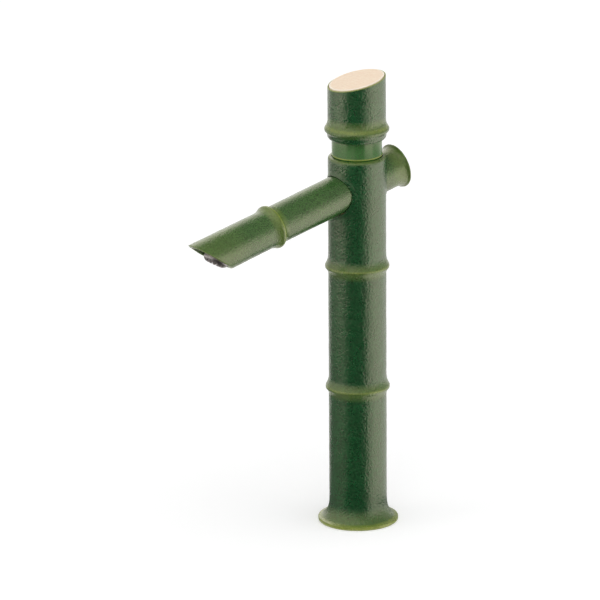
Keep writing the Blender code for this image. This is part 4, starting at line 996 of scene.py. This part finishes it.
def make_tail():
    """The threaded tail through the deck."""
    low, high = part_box("inlet_shank")
    core = TAIL_RADIUS - THREAD_DEPTH
    groove_high, groove_low = (high.z - below for below in RING_GROOVE_BELOW)
    collar_low, collar_high = COLLAR
    floor = collar_high + SPIGOT_FLOOR
    line = drawn((SPIGOT_BORE, high.z, SMALL_EDGE), (SPIGOT_RADIUS, high.z, SMALL_EDGE),
                 (SPIGOT_RADIUS, collar_high), (high.x, collar_high, SMALL_EDGE),
                 (high.x, collar_low, SMALL_EDGE), (TAIL_RADIUS, collar_low),
                 (TAIL_RADIUS, THREAD_TOP), (core, THREAD_TOP - THREAD_DEPTH),
                 (core, low.z, THREAD_DEPTH), (TAIL_BORE, low.z, SMALL_EDGE),
                 (TAIL_BORE, collar_high), (RISER_BORE, collar_high),
                 (RISER_BORE, floor), (SPIGOT_BORE, floor),
                 (SPIGOT_BORE, groove_low), (RING_GROOVE_RADIUS, groove_low),
                 (RING_GROOVE_RADIUS, groove_high), (SPIGOT_BORE, groove_high))
    tail = lathed("threaded_tail", line, SMALL_AROUND)
    ridge = new_item("tail_thread")
    bottom = low.z + THREAD_START
    depth = THREAD_DEPTH + THREAD_SEAT
    helical_ridge().applied(ridge, Radius=TAIL_RADIUS - depth / 2, Pitch=THREAD_PITCH,
                            Length=THREAD_TOP - bottom, Bottom=bottom, Depth=depth,
                            Root_Width=THREAD_ROOT_WIDTH, Crest_Width=THREAD_CREST_WIDTH,
                            Fade=THREAD_FADE_SHARE, Steps=THREAD_STEPS,
                            Material=finish_of["brass"])
    for item in (tail, ridge):
        dressed(item, "inlet_shank")


def make_fixings():
    """The nut, washer and gaskets that clamp the tap to its deck."""
    low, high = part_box("lock_nut")
    fall = (high.y - NUT_ACROSS_FLATS / 2) / 2
    slope = [(NUT_ACROSS_FLATS / 2 + 2 * fall * i / CURVE_POINTS, fall * i / CURVE_POINTS)
             for i in range(CURVE_POINTS + 1)]
    line = drawn((FIXING_BORE, low.z, SMALL_EDGE), (FIXING_BORE, high.z, SMALL_EDGE),
                 (high.x, high.z))[:-1]
    line += [(radius, high.z - drop) for radius, drop in slope]
    line += [(radius, low.z + drop) for radius, drop in slope[::-1]]
    dressed(flattened(lathed("deck_nut", line, SMALL_AROUND), NUT_ACROSS_FLATS), "lock_nut")
    for name, node, bore in (("fixing_washer", "deck_washer", FIXING_BORE),
                             ("fixing_gasket", "deck_gasket", FIXING_BORE),
                             ("foot_gasket", "base_gasket", BASE_GASKET_BORE)):
        low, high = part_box(node)
        line = drawn((bore, high.z, SMALL_EDGE), (high.x, high.z, SMALL_EDGE),
                     (high.x, low.z, SMALL_EDGE), (bore, low.z, SMALL_EDGE))
        dressed(lathed(name, line, SMALL_AROUND), node)


relief = cast_relief()
make_column()
make_spout()
make_stub()
make_neck()
make_handle()
make_insert()
make_outlet()
make_tail()
make_fixings()

# The hidden pieces keep their CAD shape
for name, item in frame["nodes"].items():
    item.data.materials.clear()
    item.data.materials.append(finish_of[slot_of[name]])


def shown_to_camera(tree):
    """Return 1 for what the camera, a gloss or glass sees, and 0 for the light on the object."""
    path = add_node(tree, "ShaderNodeLightPath")
    seen = path.outputs["Is Camera Ray"]
    for name in ("Is Glossy Ray", "Is Transmission Ray"):
        seen = add_node(tree, "ShaderNodeMath", {0: seen, 1: path.outputs[name]},
                        operation="MAXIMUM").outputs[0]
    return seen


def heading(degrees):
    """Return a level direction, turned from the camera's side by this angle to its right."""
    angle = CAMERA_AZIMUTH + math.radians(degrees)
    return Vector((math.sin(angle), -math.cos(angle), 0))


def soft_box(name, turn, height, distance, size, watts):
    """Hang a rectangular lamp at a heading and height in degrees, aimed at the tap."""
    lamp = bpy.data.lights.new(name, "AREA")
    lamp.shape = "RECTANGLE"
    lamp.size, lamp.size_y = size
    lamp.energy = watts
    item = bpy.data.objects.new(name, lamp)
    rise = math.radians(height)
    away = heading(turn) * math.cos(rise) + Vector((0, 0, math.sin(rise)))
    item.location = VIEW_CENTRE + away * distance
    item.rotation_euler = away.to_track_quat("Z", "Y").to_euler()
    item.visible_camera = False
    item.visible_glossy = False
    bpy.context.scene.collection.objects.link(item)


def up_at(height):
    """Return the (distance, height) of a panel's edge that is seen at this height in degrees."""
    rise = math.radians(height)
    return PANEL_DISTANCE * math.cos(rise), PANEL_DISTANCE * math.sin(rise)


def panel(name, turns, near, far, level):
    """Stand a panel round the tap that only its gloss sees, between two headings.

    near and far are the (distance, height) of its two long edges, and level is its brightness."""
    points, faces = [], []
    for i in range(PANEL_STEPS + 1):
        away = heading(turns[0] + (turns[1] - turns[0]) * i / PANEL_STEPS)
        points += [away * distance + Vector((0, 0, height)) for distance, height in (near, far)]
    for i in range(PANEL_STEPS):
        faces.append((2 * i, 2 * i + 1, 2 * i + 3, 2 * i + 2))
    item = new_item(name, points, faces)
    material = bpy.data.materials.new(name)
    material.use_nodes = True
    tree = material.node_tree
    glow = add_node(tree, "ShaderNodeEmission", {"Strength": level}).outputs[0]
    tree.links.new(glow, tree.nodes["Material Output"].inputs["Surface"])
    item.data.materials.append(material)
    for path in ("camera", "diffuse", "shadow", "transmission"):
        setattr(item, "visible_" + path, False)


def make_floor():
    """A white floor at the deck's height, which keeps the tap's shadow and is clear from below."""
    half = FLOOR_SIZE / 2
    floor = new_item("studio_floor", [(-half, -half, 0), (half, -half, 0), (half, half, 0),
                                      (-half, half, 0)], [(0, 1, 2, 3)])
    material = bpy.data.materials.new("studio_floor")
    material.use_nodes = True
    tree = material.node_tree
    shader = tree.nodes["Principled BSDF"]
    shader.inputs["Base Color"].default_value = (FLOOR_GREY, FLOOR_GREY, FLOOR_GREY, 1.0)
    shader.inputs["Roughness"].default_value = 1.0
    shader.inputs["Specular IOR Level"].default_value = 0.0
    place = add_node(tree, "ShaderNodeTexCoord").outputs["Object"]
    away = add_node(tree, "ShaderNodeVectorMath", {0: place}, operation="LENGTH").outputs["Value"]
    fill = add_node(tree, "ShaderNodeMapRange", {
        "Value": away, "From Min": FLOOR_REACH[0], "From Max": FLOOR_REACH[1],
        "To Min": FLOOR_GLOW[0], "To Max": FLOOR_GLOW[1]}).outputs["Result"]
    level = add_node(tree, "ShaderNodeMath", {0: shown_to_camera(tree), 1: fill},
                     operation="MULTIPLY").outputs[0]
    glow = add_node(tree, "ShaderNodeEmission", {"Strength": level}).outputs[0]
    lit = add_node(tree, "ShaderNodeAddShader", {0: shader.outputs[0], 1: glow}).outputs[0]
    clear = add_node(tree, "ShaderNodeBsdfTransparent").outputs[0]
    behind = add_node(tree, "ShaderNodeNewGeometry").outputs["Backfacing"]
    both = add_node(tree, "ShaderNodeMixShader", {0: behind, 1: lit, 2: clear}).outputs[0]
    tree.links.new(both, tree.nodes["Material Output"].inputs["Surface"])
    floor.data.materials.append(material)


def make_world():
    """White for the camera, gloss and glass, and a plain grey light on the object."""
    world = bpy.data.worlds.new("studio")
    bpy.context.scene.world = world
    world.use_nodes = True
    tree = world.node_tree
    level = add_node(tree, "ShaderNodeMapRange", {"Value": shown_to_camera(tree),
                                                  "To Min": ROOM_LIGHT, "To Max": 1.0}).outputs[0]
    tree.links.new(level, tree.nodes["Background"].inputs["Strength"])
    tree.nodes["Background"].inputs["Color"].default_value = (1.0, 1.0, 1.0, 1.0)


def make_camera():
    """The photograph's viewpoint."""
    away = heading(0) * math.cos(CAMERA_HEIGHT) + Vector((0, 0, math.sin(CAMERA_HEIGHT)))
    data = bpy.data.cameras.new("camera")
    data.sensor_width = CAMERA_SENSOR
    data.lens = CAMERA_LENS
    data.clip_end = CAMERA_SIGHT
    camera = bpy.data.objects.new("camera", data)
    bpy.context.scene.collection.objects.link(camera)
    camera.matrix_world = (Matrix.Translation(VIEW_CENTRE + away * CAMERA_DISTANCE)
                           @ away.to_track_quat("Z", "Y").to_matrix().to_4x4()
                           @ Matrix.Rotation(CAMERA_ROLL, 4, "Z"))
    bpy.context.scene.camera = camera


make_floor()
make_world()
make_camera()

# Name, heading and height in degrees, distance, width and height, watts
LAMPS = (
    ("right_light", 85.0, 12.0, 1.6, (1.5, 1.6), 5.0),
    ("front_light", 0.0, 25.0, 1.8, (1.2, 1.2), 4.0),
    ("left_light", -75.0, 15.0, 1.8, (0.9, 1.5), 4.0),
    ("top_light", 20.0, 75.0, 1.6, (1.4, 1.4), 9.0),
)

# Name, headings in degrees, near edge, far edge, brightness
PANELS = (
    ("front_floor_panel", (-46.0, 35.0), AT_FOOT, FAR_OFF, 0.0),
    ("left_floor_panel", (-140.0, -46.0), AT_FOOT, HALF_WAY, 0.16),
    ("far_left_floor_panel", (-140.0, -85.0), HALF_WAY, FAR_OFF, 0.75),
    ("right_floor_panel", (35.0, 50.0), AT_FOOT, FAR_OFF, 0.62),
    ("far_right_floor_panel", (50.0, 64.0), AT_FOOT, FAR_OFF, 0.85),
    ("front_low_panel", (-46.0, 35.0), FAR_OFF, up_at(7.0), 0.0),
    ("front_high_panel", (-10.0, 35.0), up_at(7.0), up_at(60.0), 0.2),
    ("front_left_panel", (-46.0, -10.0), up_at(7.0), up_at(60.0), 0.42),
    ("side_panel", (75.0, 150.0), FAR_OFF, up_at(10.0), 0.35),
    ("left_panel", (-140.0, -46.0), FAR_OFF, up_at(60.0), 0.5),
    ("right_low_panel", (35.0, 160.0), up_at(10.0), up_at(25.0), 0.45),
    ("right_high_panel", (35.0, 160.0), up_at(25.0), up_at(60.0), 0.16),
    ("right_roof_panel", (20.0, 200.0), up_at(60.0), up_at(89.0), 0.1),
    ("left_roof_panel", (-160.0, 20.0), up_at(60.0), up_at(89.0), 0.55),
    ("behind_foot_panel", (64.0, 220.0), AT_FOOT, PAST_FOOT, 0.12),
    ("back_strip_panel", (182.0, 198.0), up_at(3.0), up_at(40.0), 1.6),
    ("right_back_panel", (160.0, 181.0), up_at(10.0), up_at(60.0), 0.3),
)
for lamp in LAMPS:
    soft_box(*lamp)
for row in PANELS:
    panel(*row)
bpy.context.scene.view_settings.view_transform = "Standard"
